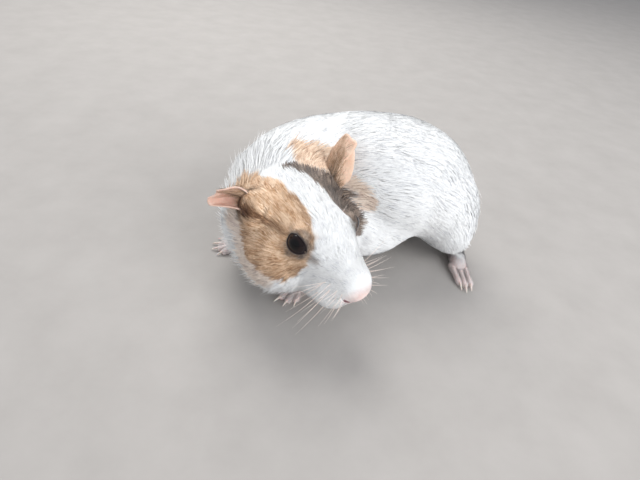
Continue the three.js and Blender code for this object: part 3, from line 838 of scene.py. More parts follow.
def ear_material(name, inner, outer, shade):
    """Ear leather: thin, warm and lightly wrinkled, with a paler rim, and painted shade towards the root and,
    on the right, under the fold.
    """
    n = Nodes(name, 0.55, Subsurface_Weight=0.15, Subsurface_Scale=0.002, Specular_IOR_Level=0.35)
    n.shader.inputs["Subsurface Radius"].default_value = (1.0, 0.45, 0.35)
    rim, root, streaks = n.attribute("ear")
    base = n.mottled(230, inner, outer, high=0.68)
    base = n.mix(n.maths("MULTIPLY", rim, 0.6), base, EAR_RIM)
    veins = n.spread(n.noise(420, 5, 0.7), 0.5, 0.62)
    base = n.mix(n.maths("MULTIPLY", veins, 0.18), base, shade)
    base = n.mix(n.maths("MULTIPLY", streaks, n.spread(n.noise(700, 3), 0.35, 0.65)), base, shade)
    # painted shade in brown: towards the ear's root, and under the right ear's fold
    base = n.mix(root, base, BROWN_STREAK_AND_SHADE)
    n.bump(n.maths("ADD", n.noise(520, 5, 0.65), n.cells(1300)), 0.3, 0.0004)
    return n.colour(base)


def eye_material():
    n = Nodes("eye", 0.07, Specular_IOR_Level=0.3)
    pupil, white, _ = n.attribute("eye")
    strands = n.noise(1300, 4, 0.7)
    iris = n.mix(n.spread(strands, 0.3, 0.7), IRIS_DARK, IRIS_BROWN)
    n.bump(strands, 0.05, 0.0002)
    return n.colour(n.mix(pupil, n.mix(white, iris, EYE_WHITE), PUPIL))


def lid_material():
    n = Nodes("lids", 0.42, Specular_IOR_Level=0.5)
    rim = n.attribute("lid")[0]
    n.bump(n.noise(1600, 4, 0.7), 0.4, 0.0003)
    return n.colour(n.mix(rim, n.mottled(900, LID_DEEP, LID_LIGHT), LID_RIM))


def claw_material():
    n = Nodes("claws", 0.32, Coat_Weight=0.3, Coat_Roughness=0.2, Subsurface_Weight=0.15,
              Subsurface_Scale=0.001)
    along = n.attribute("claw")[0]
    grain = n.noise(900, 4, 0.6, (3, 1, 1))
    base = n.mix(n.spread(along, 0.0, 0.9), CLAW_ROOT, CLAW_TIP)
    n.bump(grain, 0.3, 0.0003)
    return n.colour(n.mix(n.spread(grain, 0.45, 0.8, 0, 0.5), base, CLAW_GRAIN))


def whisker_material():
    n = Nodes("whiskers", 0.35, Specular_IOR_Level=0.6)
    root = n.mottled(300, WHISKER_LIGHT, WHISKER_DEEP, 0.3, 0.7, detail=2)
    return n.colour(n.mix(n.attribute("lock")[1], root, WHISKER_TIP))


def floor_material():
    n = Nodes("floor", 0.7, Specular_IOR_Level=0.25)
    n.bump(n.noise(300, 3), 0.03, 0.0005)
    return n.colour(n.mottled(40, FLOOR_DEEP, FLOOR_LIGHT, 0.3, 0.7))


# ---------------------------------------------------------------- skin
FLESH = ["head", "neck", "chest", "belly", "rump", *SOLES]
FLESH += [name.replace("foot", "leg") for name in SOLES]
SKIN_LOW, SKIN_HIGH = (-64, 108, -2.2), (92, 242, 76)


def build_skin():
    points, quads = surface_net(lambda p: skin_field(p, False), SKIN_LOW, SKIN_HIGH, SKIN_CELL)
    points = settled(lambda p: skin_field(p, False), points, 2, 0.3 * SKIN_CELL)
    faces = quads
    toes = [(*np.add(a, b) / 2, 2.0) for pairs in TOES.values() for a, b in pairs]
    nose = [from_head((-3, 0, -4))]
    points, faces = refined(points, quads, [
        lambda m: (closest(m, nose) < 13) | (closest(m, toes) < 9),
        lambda m: (closest(m, nose) < 9.5) | (closest(m, toes) < 6.5),
        lambda m: closest(m, nose) < 7.5,
    ])
    points = settled(skin_field, points, 3, 0.25)
    points[:, 2] = np.maximum(points[:, 2], 0.0)
    skin = piece_from("skin", points, faces, *FLESH, slot="bare_skin", material=skin_material())
    give_markings(skin.data, in_chunks(markings, points))
    unwrap(skin)
    return skin


# ---------------------------------------------------------------- the lie of the coat
def lie(p, normal):
    """The way the hair points at points of the skin, along the skin."""
    q = to_head(p)
    x, y, z = q.T
    # on the head back from the nose, down over the cheeks, up on the crown, and away from the eyes
    side = np.sign(y) * smooth(np.abs(y), 2, 14)
    way = np.stack([-np.ones(len(p)), 0.25 * side, -0.75 * smooth(z, 8, -4) * np.abs(side)], 1)
    way[:, 2] += 0.3 * smooth(z, 6, 12)
    for at in EYES.values():
        way += unit(q - at) * (0.9 * smooth(distance(q, at), 10, 5.5))[:, None]
    on_head = from_head_way(unit(way))

    # on the trunk along the spine, sinking on the lower flanks and behind the rump
    gaps = np.stack([distance(p, at) for at in SPINE_LINE[::3]], 1)
    weights = np.exp(-((gaps - gaps.min(1, keepdims=True)) / 7) ** 2)
    tangents = unit(np.gradient(SPINE_LINE, axis=0))[::3]
    on_trunk = -unit(weights @ tangents)
    on_trunk = -on_trunk if on_trunk[np.argmax(p[:, 0]), 0] < 0 else on_trunk
    low = smooth(p[:, 2], 50, 20)
    rear = smooth(p[:, 0], 48, 66)
    on_trunk[:, 2] -= 0.35 * low * (1 - smooth(normal[:, 2], -0.4, -0.8)) + 1.0 * rear

    head = smooth(head_field(p) - 0.4 * trunk_field(p), 5, -5)[:, None]
    way = unit(on_head * head + on_trunk * (1 - head))
    # down the legs and forward along the feet
    for name, stations in SHANKS.items():
        line = [at for at, *_ in stations] + [at for at, _ in SOLES[name]]
        down = unit(np.array(line[2], float) - line[0])
        along = unit(np.array(SOLES[name][-1][0], float) - SOLES[name][0][0])
        near = smooth(line_distance(p, line[:3]), 13, 5)[:, None]
        foot = smooth(line_distance(p, line[3:]), 7, 4)[:, None]
        way = way * (1 - near) + down * near
        way = way * (1 - foot) + along * foot
    way += 0.13 * ripples(p, 16)
    way -= normal * np.einsum("ij,ij->i", way, normal)[:, None]
    return unit(way)


# ---------------------------------------------------------------- coat of locks
SHORT = 6.6  # locks shorter than this have two rings and a tip, and longer ones three
LOCKS = {"short": 66_000, "long": 50_000}
# Where a lock's rings lie between its root and its tip.
RINGS = {"short": (0.0, 0.45), "long": (0.0, 0.35, 0.7)}
WIDTHS = {"short": (0.85, 1.0), "long": (0.75, 1.0, 0.62)}
RISE = {"short": (0.0, 0.65, 1.0), "long": (0.0, 0.8, 0.97, 1.0)}  # and how far up through the coat
PULL = {"short": 0.42, "long": 0.1}  # how strongly locks gather into tufts
KEEL = 0.36  # height of a lock's cross-section against its width
OWN_SHADE = {"short": 0.42, "long": 0.2}  # how far its shading follows its own shape and not the skin's
LENGTH_SPREAD, WIDTH_SPREAD, LIFT_SPREAD = (0.7, 1.2), (0.75, 1.25), (0.4, 1.6)
LOOSE = 0.18  # share of the locks that stand up where all of them may
PATCH = 0.003  # size of a lock in the bake's map
BALD_NOSE, BALD_REACH = (0.8, 0, -2.5), 3.4  # in the head's frame
TOE_ROOTS = [np.array([*root, 3.0]) for toes in TOES.values() for root, _ in toes]


# Length and half width of the locks and how close they stand: on the trunk, and along x of the head's frame.
ON_TRUNK = (9.0, 0.25, 1.0)
ON_HEAD = (
    ([-70, -55, -42, -30, -18, -8, 0], [8.5, 6.8, 6.0, 5.0, 3.8, 2.2, 0.8]),
    ([-60, -40, -20, -8, -3], [0.21, 0.175, 0.145, 0.1, 0.05]),
    ([-70, -50, -30, -10, -3], [1.3, 2.4, 3.6, 5.0, 6.5]),
)
# What the three are multiplied by at distances from an eye, and what share is added on the feet and ankles.
BY_EYES = (([4.5, 7, 11], [0.22, 0.5, 1.0]), ([4.5, 7, 11], [0.45, 0.7, 1.0]), ([5, 8, 12], [2.2, 1.5, 1.0]))
ON_FEET, ON_ANKLES = (-0.84, -0.72, 4.0), (-0.5, -0.35, 0.8)


def lock_facts(p):
    """Length, half width, closeness and looseness of the locks at roots on the skin, in columns."""
    q = to_head(p)
    x, y, z = q.T
    skull, foot_gap = head_field(p), feet_field(p)
    head = smooth(skull, 7, 0)
    eye = closest(p, EYE_PLACES.values())
    foot = smooth(foot_gap, 4.5, 0.8) * smooth(p[:, 2], 14, 5) * smooth(closest(p, TOE_ROOTS), 19, 9)
    ankle = smooth(foot_gap, 8, 2) * smooth(p[:, 2], 20, 9) * (1 - foot)
    facts = []
    for trunk, along, by_eyes, on_feet, on_ankles in zip(ON_TRUNK, ON_HEAD, BY_EYES, ON_FEET, ON_ANKLES):
        fact = (trunk + (np.interp(x, *along) - trunk) * head) * np.interp(eye, *by_eyes)
        facts.append(fact * (1 + on_feet * foot) * (1 + on_ankles * ankle))

    ruff = smooth(skull, -1, 6) * smooth(skull, 22, 10) * smooth(p[:, 2], 26, 42) * smooth(y, 12, 4)
    jaw = head * smooth(z, -4, -12) * smooth(x, -16, -26)
    rear = smooth(p[:, 0], 58, 70) * (1 - foot)
    facts[0] *= 1 - 0.45 * smooth(line_distance(q, SHOULDER_PATCH), 9, 4)
    facts[0] *= 1 + 0.15 * ruff + 0.1 * jaw
    return np.stack([*facts, 0.12 + 0.88 * np.clip(ruff + jaw + 0.25 * rear, 0, 1)], 1)


def roots_on(skin, kind, rng):
    """Evenly strewn roots: their places, skin normals and places on the skin's unwrap."""
    count = LOCKS[kind]
    mesh = skin.data
    mesh.calc_loop_triangles()
    corners = read(mesh.loop_triangles, "vertices", 3, np.int32)
    loops = read(mesh.loop_triangles, "loops", 3, np.int32)
    places = drawn(read(mesh.vertices, "co", 3, float))
    normals = read(mesh.vertex_normals, "vector", 3)
    flat = read(mesh.uv_layers["OFBake"].data, "uv", 2)

    triangles = places[corners]
    middles = triangles.mean(1)
    across, along = triangles[:, 1] - triangles[:, 0], triangles[:, 2] - triangles[:, 0]
    area = np.linalg.norm(np.cross(across, along), axis=1) / 2
    length, _, close, _ = in_chunks(lock_facts, middles).T
    q = to_head(middles)
    # no locks on the tip of the nose, on the floor, on the eyeballs, or in the nostrils and the mouth
    bald = distance(q, BALD_NOSE) < BALD_REACH
    bald |= (middles[:, 2] < 1.2) | (closest(middles, EYE_PLACES.values()) < EYE_RADIUS + 0.12)
    bald |= (q[:, 0] > -20) & (groove_depth(q) > -0.1)
    bald |= (length < SHORT) != (kind == "short")
    # as many locks to a face as its area and closeness ask for, counted along rows of small cells
    share = np.where(bald, 0, area * close)
    cell = np.floor(middles / 3).astype(int)
    order = np.lexsort((cell[:, 0], cell[:, 1], cell[:, 2]))
    total = np.cumsum(share[order])
    wanted = (np.arange(count) + rng.uniform(0, 1, count)) / count * total[-1]
    chosen = order[np.minimum(np.searchsorted(total, wanted), len(corners) - 1)]
    # each root anywhere on its face
    a, b = rng.uniform(0, 1, (2, count))
    over = a + b > 1
    a[over], b[over] = 1 - a[over], 1 - b[over]
    weights = np.stack([1 - a - b, a, b], 1)
    roots = np.einsum("ij,ijk->ik", weights, triangles[chosen])
    upright = unit(np.einsum("ij,ijk->ik", weights, normals[corners[chosen]]))
    return roots, upright, np.einsum("ij,ijk->ik", weights, flat[loops[chosen]])


def tufted(tips, roots, strength, rng):
    """How far each tip is drawn to the tip of a near lock, so that locks gather into tufts."""
    leaders = rng.choice(len(roots), len(roots) // 11, replace=False)
    tree = KDTree(len(leaders))
    for k, spot in enumerate(roots[leaders]):
        tree.insert(spot, k)
    tree.balance()
    follow = leaders[[tree.find(spot)[1] for spot in roots]]
    pull = np.clip(rng.normal(strength, 0.14, len(roots)), 0.05, 0.8)
    return (tips[follow] - tips) * pull[:, None]


def lock_paths(kind, roots, normals, rng):
    """The line of each lock from its root, through its rings' middles, to its tip, and its half width."""
    count = len(roots)
    length, width, _, stand = in_chunks(lock_facts, roots).T
    length = length * rng.uniform(*LENGTH_SPREAD, count) * (1 + 0.18 * ripple(roots, 7, 2))
    width = width * rng.uniform(*WIDTH_SPREAD, count)
    way = lie(roots, normals)
    turn = rng.normal(0, 0.08, count) + 0.12 * ripple(roots, 9, 9)
    way = unit(way + np.cross(normals, way) * turn[:, None])
    gather = tufted(roots + way * length[:, None], roots, PULL[kind], rng) * smooth(length, 0.8, 4.0)[:, None]
    depth = np.maximum(-in_chunks(tip_field, roots), 0.15)
    lift = (0.004 + 0.12 * (stand - 0.08)) * rng.uniform(*LIFT_SPREAD, count)
    loose = rng.uniform(0, 1, count) < LOOSE * stand
    lift[loose] += (stand * rng.uniform(0.1, 0.5, count))[loose]
    # each ring over its place on the skin, brought to its height in the coat
    path = [roots - normals * 0.25]
    for share, high in list(zip((*RINGS[kind], 1.0), RISE[kind]))[1:]:
        spot = roots + way * (length * share)[:, None] + gather * share**2
        target = -depth * (1 - high) + lift * length * share**1.5
        for _ in range(2):
            value = in_chunks(lambda p: tip_field(p.astype(np.float32)), spot).astype(float)
            spot = spot - normals * np.clip(value - target, -3, 3)[:, None]
        path.append(spot)
    path = np.stack(path, 1)
    path[:, 1:, 2] = np.maximum(path[:, 1:, 2], 0.15)
    return path, width


def lock_faces(rings):
    faces = [(0, 1, 2)]
    for ring in range(0, 3 * (rings - 1), 3):
        for k in range(3):
            a, b = ring + k, ring + (k + 1) % 3
            faces += [(a, b + 3, b), (a, a + 3, b + 3)]
    last = 3 * (rings - 1)
    return np.array(faces + [(last + k, last + 3, last + (k + 1) % 3) for k in range(3)])


def lock_shapes(path, width, normals, kind):
    """Corner points of the locks, their soft normals, and how far each point lies along its lock."""
    count, rings = len(path), len(RINGS[kind])
    forward = unit(np.gradient(path, axis=1))
    side = unit(np.cross(forward, normals[:, None]))
    up = np.cross(side, forward)
    angles = np.radians([30, 150, 270])  # the flat side up
    widths = (width[:, None] * np.array(WIDTHS[kind]))[:, :, None, None]
    corners = (path[:, :rings, None]
               + side[:, :rings, None] * (np.cos(angles)[:, None] * widths)
               + up[:, :rings, None] * (np.sin(angles)[:, None] * KEEL * widths))
    points = np.concatenate([corners.reshape(count, 3 * rings, 3), path[:, rings:]], 1)
    spine = np.repeat(path, [3] * rings + [1], axis=1)
    own = OWN_SHADE[kind]
    soft = unit((1 - own) * normals[:, None] + own * unit(points - spine + 1e-6 * normals[:, None]))
    return points, soft, np.repeat([*RINGS[kind], 1.0], [3] * rings + [1])


def coat_piece(name, kind, shapes, shade, shares, flat, material, slot="white_coat"):
    """One mesh of many locks, with their markings and their patches of the bake's map at `flat`."""
    points, soft, along = shapes
    count, size = points.shape[:2]
    faces = (lock_faces(len(RINGS[kind]))[None] + size * np.arange(count)[:, None, None]).reshape(-1, 3)
    soft = soft.reshape(-1, 3)
    thing = piece_from(name, points.reshape(-1, 3), faces, slot=slot, material=material, normals=soft)
    mesh = thing.data
    give_markings(mesh, shares, size)
    give(mesh, "lock", np.stack([np.repeat(shade, size), np.tile(along, count)], 1))
    corner = read(mesh.loops, "vertex_index", 1, np.int32)[:, 0]
    spread = np.stack([np.array([-0.5, 0, 0.5] * len(RINGS[kind]) + [0]), along - 0.5], 1) * PATCH
    uv = (flat[:, None] + spread).reshape(-1, 2)
    layer = mesh.uv_layers.new(name="OFBake")
    layer.data.foreach_set("uv", np.clip(uv, 0.001, 0.999)[corner].astype(np.float32).ravel())


def build_coat(skin, kind, names, material, rng):
    roots, normals, flat = roots_on(skin, kind, rng)
    path, width = lock_paths(kind, roots, normals, rng)
    points, soft, along = lock_shapes(path, width, normals, kind)
    shade = np.clip(rng.uniform(0, 1, len(roots)) * 0.7 + 0.3 * (0.5 + 0.5 * ripple(roots, 4, 4)), 0, 1)
    shares = in_chunks(markings, path[:, -2] if kind == "long" else (path[:, 1] + path[:, 2]) / 2)
    station = np.where(in_chunks(head_field, roots) < 5, -to_head(roots)[:, 0], 102 + roots[:, 0])
    order = np.argsort(station, kind="stable")
    for name, part in zip(names, np.array_split(order, len(names))):
        shapes = (points[part], soft[part], along)
        coat_piece(name, kind, shapes, shade[part], shares[part], flat[part], material)


# ---------------------------------------------------------------- eyes and lids
EYE_TURNS, EYE_RINGS = 48, 26
PUPIL_EDGE, IRIS_EDGE = (27, 22), (47, 53)  # degrees from the middle, each a soft step
CORNEA = (0.985, 0.03, 34)  # radius of the ball, bulge of its middle and width of that bulge in degrees
OPENING = (68, 41, 43)  # half angles of the opening: towards the nose and back, downwards, upwards
# The lids' section: degrees out from the opening's edge and height over the eyeball, round to under the coat.
LID_SECTION = [(-0.8, 0.0), (-0.4, 0.13), (0.8, 0.24), (2.8, 0.32), (5.5, 0.32), (9, 0.22), (13, 0.02),
               (18, -0.35), (22, -1.0), (18, -1.5), (8, -0.9)]


def ball_points(centre, radius, out, fore, up, angles, turns):
    """Points at polar angles from the outward way, for each turn round it."""
    ring = np.cos(turns)[:, None] * fore + np.sin(turns)[:, None] * up
    return centre + radius * (np.cos(angles)[:, None] * out + np.sin(angles)[:, None] * ring)


def grid_faces(lines, count, ring=True):
    """Quads between `lines` lines of `count` points, closed round each line if `ring`."""
    faces = []
    for line in range(lines - 1):
        for k in range(count if ring else count - 1):
            a, b = line * count + k, line * count + (k + 1) % count
            faces.append((a, b, b + count, a + count))
    return faces


def build_eye(side):
    low, high = drawn(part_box(f"eye_{side}"))
    centre, radius = (low + high) / 2, (high[0] - low[0]) / 2
    out, fore, up = eye_frame(side)
    turns = np.linspace(0, 2 * np.pi, EYE_TURNS, endpoint=False)
    lines, marks = [], []
    for angle in np.linspace(2, 178, EYE_RINGS):
        bulge = radius * (CORNEA[0] + CORNEA[1] * np.exp(-((angle / CORNEA[2]) ** 2)))
        lines.append(ball_points(centre, bulge, out, fore, up, np.full(EYE_TURNS, np.radians(angle)), turns))
        marks.append([smooth(angle, *PUPIL_EDGE), smooth(angle, *IRIS_EDGE)])
    points = np.concatenate(lines)
    faces = grid_faces(EYE_RINGS, EYE_TURNS) + [tuple(range(EYE_TURNS))[::-1]]
    faces.append(tuple(range((EYE_RINGS - 1) * EYE_TURNS, EYE_RINGS * EYE_TURNS)))
    small_piece(f"eyeball_{side}", points, faces, f"eye_{side}", slot="eye", material=EYE_LOOK,
                shares=("eye", np.repeat(marks, EYE_TURNS, 0)))


def build_lids(side):
    """A ring of soft skin round the opening: inner edge on the eyeball, outer edge under the coat."""
    centre = EYE_PLACES[side]
    out, fore, up = eye_frame(side)
    count = 96
    turns = np.linspace(0, 2 * np.pi, count, endpoint=False)
    wide, low, high = OPENING
    tall = np.where(np.sin(turns) > 0, high, low)
    corner = 6 * np.exp(-((np.sin(turns) / 0.2) ** 2))
    opening = 1 / np.sqrt((np.cos(turns) / (wide + corner)) ** 2 + (np.sin(turns) / tall) ** 2)
    crease = 0.12 * np.sin(9 * turns) * (np.sin(turns) > 0)
    lines, marks = [], []
    for angle, proud in LID_SECTION:
        reach = EYE_RADIUS + proud + crease * (smooth(angle, 1, 6) * smooth(angle, 20, 12))
        spots = [ball_points(centre, r, out, fore, up, np.radians([a]), np.array([t]))[0]
                 for r, a, t in zip(reach, opening + angle, turns)]
        lines.append(np.array(spots))
        marks.append([smooth(angle, 6, 1)])
    lines.append(lines[0])
    points = np.concatenate(lines[:-1])
    faces = [tuple(i % len(points) for i in face) for face in grid_faces(len(lines), count)]
    small_piece(f"lids_{side}", points, faces, slot="face_coat", material=LID_LOOK,
                shares=("lid", np.repeat(marks, count, 0)))


# ---------------------------------------------------------------- ears
# In the head's frame: the root and the rim from the front edge to the back edge, how far the middle is pushed
# away from the opening, where a crease runs from the root (first) to the rim (first and second together), and
# how far the flesh behind the crease curls over.
EARS = {
    "left": {
        "foot": [(-46.7, 24, 11), (-52, 23.5, 11.5), (-57.4, 24, 10)],
        "rim": [
            (-44.8, 26.5, 16.7), (-46.4, 28, 22.2), (-49.7, 29.5, 27.9), (-51.6, 30.2, 30),
            (-51.9, 31, 32.4), (-55.4, 30.8, 32.6), (-58.6, 30.5, 32.8),
            (-61.8, 29, 24.9), (-61.5, 28, 19.6), (-59.4, 26.8, 14.9),
        ],
        "hollow": (1, -4, 0),
        "crease": (0.1, 0.58),
        "lip": 0.0,
    },
    "right": {
        "foot": [(-52, -24, 7), (-54.6, -22.3, 10.8), (-56.6, -21.4, 12.6)],
        "rim": [
            (-54.8, -27.5, 8.8), (-57, -30, 8.4), (-60.2, -34.5, 7.4), (-62.6, -37, 7.3),
            (-63.8, -37.1, 9.3), (-62.4, -35, 11.8), (-62.4, -33.7, 14.6),
            (-61.3, -30.6, 16), (-59.6, -26.8, 16.4), (-57, -23, 14.8),
        ],
        "hollow": (-3, 5, -1),
        "crease": (0.5, 0.06),
        "lip": 1.5,
    },
}
EAR_THICK = 1.0
EAR_BURIED = 0.25  # share of an ear's height that goes on below its root
EAR_HAIRS = 2600


def even(points, count):
    """Points of a smooth curve, evenly spaced along it."""
    fine = spline(points, np.linspace(0, 1, 400))
    run = np.concatenate([[0], np.cumsum(np.linalg.norm(np.diff(fine, axis=0), axis=1))])
    return np.stack([np.interp(np.linspace(0, run[-1], count), run, fine[:, a]) for a in range(3)], 1)


def crease_at(side, high):
    """Where an ear's crease lies at shares of its height, from the front edge to the back edge."""
    start, drift = EARS[side]["crease"]
    return start + drift * high


def ear_sheet(side, columns, lines):
    """The middle sheet of an ear: lines from the root to the rim, columns from the front edge to the back."""
    ear = EARS[side]
    foot = even(from_head(ear["foot"]), columns)
    rim = spline(from_head(ear["rim"]), np.linspace(0, 1, columns))
    push = from_head_way(ear["hollow"])
    u = np.linspace(0, 1, columns)[None, :, None] + np.zeros((lines, 1, 1))
    v = np.linspace(-EAR_BURIED, 1, lines)[:, None, None] + np.zeros((1, columns, 1))
    high = np.clip(v, 0, 1)
    crease = crease_at(side, high)
    ridge = np.where(u < crease, u / crease, (1 - u) / (1 - crease))
    bow = (0.4 * np.sin(np.pi * u) + 0.6 * ridge) * np.sin(np.pi * (0.15 + 0.75 * high))
    lip = ear["lip"] * smooth(u - crease, 0.03, 0.11) * smooth(u, 1.0, 0.72) * smooth(v, 0.05, 0.4)
    sheet = foot * (1 - v) + rim * v + push * bow + unit(push) * (0.5 * EAR_THICK - lip)
    crinkle = 0.2 * np.sin(u * 23 + 3 * v) * high + 0.25 * np.sin(u * 9 - 5 * v) * high
    along = unit(np.gradient(sheet, axis=1))
    rise = unit(np.gradient(sheet, axis=0))
    normal = unit(np.cross(along, rise))
    return sheet + normal * crinkle, normal, u[..., 0], v[..., 0]


def build_ear(side):
    columns, lines = 64, 34
    sheet, normal, u, v = ear_sheet(side, columns, lines)
    edge = np.minimum.reduce([np.minimum(u, 1 - u) * 2.2, 1 - v])
    thick = 0.16 + 0.3 * np.sqrt(np.clip(edge / 0.12, 0, 1)) * np.clip(1.1 - 0.4 * v, 0, 1)
    front, back = sheet - normal * thick[..., None], sheet + normal * thick[..., None]
    points = np.concatenate([front.reshape(-1, 3), back.reshape(-1, 3)])
    half = columns * lines
    faces = grid_faces(lines, columns, ring=False)
    faces += [tuple(half + i for i in face[::-1]) for face in faces]
    border = [(0, c) for c in range(columns)] + [(r, columns - 1) for r in range(1, lines)]
    border += [(lines - 1, c) for c in range(columns - 2, -1, -1)] + [(r, 0) for r in range(lines - 2, 0, -1)]
    for (r, c), (s, d) in zip(border, border[1:] + border[:1]):
        a, b = r * columns + c, s * columns + d
        faces.append((b, a, half + a, half + b))
    crease = crease_at(side, np.clip(v, 0, 1))
    # `root` is painted shade: darker towards the root where the ear meets the head, and on the right ear also
    # in a band under the fold of its upper edge
    if side == "left":
        root = 0.4 * smooth(v, 0.35, 0.0)
        streaks = 0.9 * smooth(u - crease, -0.04, 0.05)
    else:
        fold_shade = smooth(np.abs(u - crease + 0.02), 0.09, 0.0) * smooth(v, 0.9, 0.4)
        root = np.maximum(smooth(v, 0.42, 0.08), fold_shade) * 0.9 * smooth(u, 0.95, 0.75)
        streaks = 0.6 * smooth(v, 0.8, 0.3)
    marks = np.stack([smooth(edge, 0.1, 0.0), root, streaks], -1).reshape(-1, 3)
    leather = ear_material(f"ear_leather_{side}", *EAR_TONES[side])
    small_piece(f"ear_shell_{side}", points, faces, f"ear_{side}", slot="bare_skin", material=leather,
                shares=("ear", np.tile(marks, (2, 1))), mapped=True)


def build_ear_hair(side, material):
    """Fine hair along both faces of an ear, closest at its root and on the side behind its crease."""
    rng = np.random.default_rng(31)
    columns, lines = 61, 41
    sheet, normal, *_ = ear_sheet(side, columns, lines)
    u, v = rng.uniform(0.03, 0.97, EAR_HAIRS), rng.beta(1.0, 1.9, EAR_HAIRS) * 0.97
    behind = smooth(u - crease_at(side, v), -0.03, 0.05)
    keep = rng.uniform(0, 1, EAR_HAIRS) < np.maximum(behind, smooth(v, 0.5, 0.1))
    face = rng.choice([-1, 1], EAR_HAIRS)
    u, v, face = u[keep], v[keep], face[keep]
    count = len(u)
    reach = rng.uniform(0.1, 0.26, count)
    lean = rng.normal(0, 0.05, count)
    path = []
    for share, lift in ((0, 0.2), (0.5, 0.55), (1, 0.75)):
        c = np.clip(u + lean * share, 0, 1) * (columns - 1)
        r = np.clip((v + reach * share + EAR_BURIED) / (1 + EAR_BURIED), 0, 1) * (lines - 1)
        c, r = np.round(c).astype(int), np.round(r).astype(int)
        path.append(sheet[r, c] + normal[r, c] * (face * lift)[:, None])
        if share == 0:
            upright = normal[r, c] * face[:, None]
    path = np.stack(path, 1)
    path[:, 2] += unit(path[:, 2] - path[:, 1]) * rng.uniform(0, 0.8, count)[:, None]
    shapes = lock_shapes(path, rng.uniform(0.05, 0.1, count), upright, "short")
    shares = np.zeros((count, 6))
    shares[:, 0] = 1
    shares[:, 1] = rng.uniform(0, 1, count) < smooth(v, 0.3, 0.0) * (0.6 if side == "left" else 0.2)
    shares[:, 3] = rng.uniform(0, 0.35, count) * (1 if side == "left" else smooth(v, 0.7, 0.1))
    flat = np.stack([0.02 + 0.46 * u + 0.5 * (face > 0), 0.02 + 0.96 * v], 1)
    shade = rng.uniform(0, 1, count)
    coat_piece(f"coat_ear_{side}", "short", shapes, shade, shares, flat, material, "face_coat")


# ---------------------------------------------------------------- claws and whiskers
def tubes(lines, widths, sides):
    """Closed tapering tubes along the lines as one mesh: points, faces, and how far along each point lies."""
    angles = np.linspace(0, 2 * np.pi, sides, endpoint=False)[:, None]
    last = (len(widths) - 1) * sides
    quads = grid_faces(len(widths), sides) + [tuple(range(sides))[::-1], tuple(range(last, last + sides))]
    points, faces = [], []
    for line in lines:
        forward = unit(np.gradient(line, axis=0))
        side = unit(np.cross(forward, (0.03, 0.05, 1.0)))
        up = np.cross(side, forward)
        ring = np.cos(angles) * side[:, None] + np.sin(angles) * up[:, None]
        ring = (line[:, None] + widths[:, None, None] * ring).reshape(-1, 3)
        faces += [tuple(i + len(points) * len(ring) for i in quad) for quad in quads]
        points.append(ring)
    along = np.repeat(np.linspace(0, 1, len(widths)), sides)
    return np.concatenate(points), faces, np.tile(along, len(points))


CLAW_WIDTH = ([0, 0.25, 0.6, 0.9, 1], [0.56, 0.62, 0.46, 0.22, 0.05])  # half width from root to tip
CLAW_SUNK, CLAW_LENGTH, CLAW_HEIGHT = 1.2, 5.1, 1.75  # where it starts inside the toe, its reach, its height


def build_claws():
    nodes, lines = [], []
    shares = np.linspace(0, 1, 10)
    for name, toes in TOES.items():
        for k, (root, tip) in enumerate(toes, 1):
            nodes.append(f"claw_{name}_{k}")
            low, high = drawn(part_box(nodes[-1]))
            root, tip = np.array([*root, 0.0]), np.array([*tip, 0.0])
            ahead = unit(tip - root)
            middle = ((low + high) / 2 * (1, 1, 0)) - tip
            line = [tip + ahead * (CLAW_LENGTH * s - CLAW_SUNK)
                    + (0, 0, CLAW_HEIGHT - 0.2 * s - 1.1 * s**2.2) for s in shares]
            lines.append(np.stack(line) + (middle - ahead * (middle @ ahead)) * shares[:, None])
    points, faces, along = tubes(lines, np.interp(shares, *CLAW_WIDTH), 12)
    small_piece("claws", points, faces, *nodes, slot="claw", material=claw_material(),
                shares=("claw", along[:, None]), mapped=True)


# Height and upward lean of the whiskers of each row, in the head's frame.
WHISKER_ROWS = [(-0.8, 0.05), (-3.0, -0.2), (-5.2, -0.5), (-7.3, -0.85), (-9.2, -1.3)]
WHISKER_WIDTH = 0.095


def whisker_lines():
    """Roots in rows on the upper lips, each hair longer and further back than the one before it."""
    rng = np.random.default_rng(21)
    for side in (-1, 1):
        for row, (z, rise) in enumerate(WHISKER_ROWS):
            reach = 1.3 if side > 0 else 1.0
            for k in range(4):
                x = -5.5 - 2.4 * k + rng.uniform(-0.6, 0.6)
                start = np.array([x, side * (6.0 + 0.75 * k), z + rng.uniform(-0.5, 0.5)])
                fore = 0.45 - 0.17 * k + rng.uniform(-0.12, 0.12)
                way = unit(np.array([fore, side * 1.0, rise + rng.uniform(-0.14, 0.14)]))
                yield side, start, way, (9.5 + 4.3 * k - abs(row - 2)) * reach * rng.uniform(0.75, 1.15)
        brow, way = np.array([-31, side * 9.5, 14.5]), unit(np.array([-0.3, side * 0.7, 0.6]))
        yield side, brow, way, rng.uniform(4.5, 6)


def build_whiskers():
    lines = []
    rng = np.random.default_rng(22)
    t = np.linspace(0, 1, 12)
    for side, start, way, length in whisker_lines():
        droop = np.array([-0.3, side * -0.1, -0.25]) * rng.uniform(0.2, 0.9)
        line = from_head(start + way * (length * t)[:, None] + droop * (length * 0.45 * t**2)[:, None])
        line = line + settled(coat_field, line[:1], 4, 2.0) - line[:1] - 0.8 * from_head_way(way)
        line[:, 2] = np.maximum(line[:, 2], 0.4)
        lines.append(line)
    points, faces, along = tubes(lines, WHISKER_WIDTH * (1 - 0.85 * t), 5)
    small_piece("whiskers", points, faces, slot="white_coat", material=whisker_material(),
                shares=("lock", np.stack([0 * along, along], 1)), mapped=True)


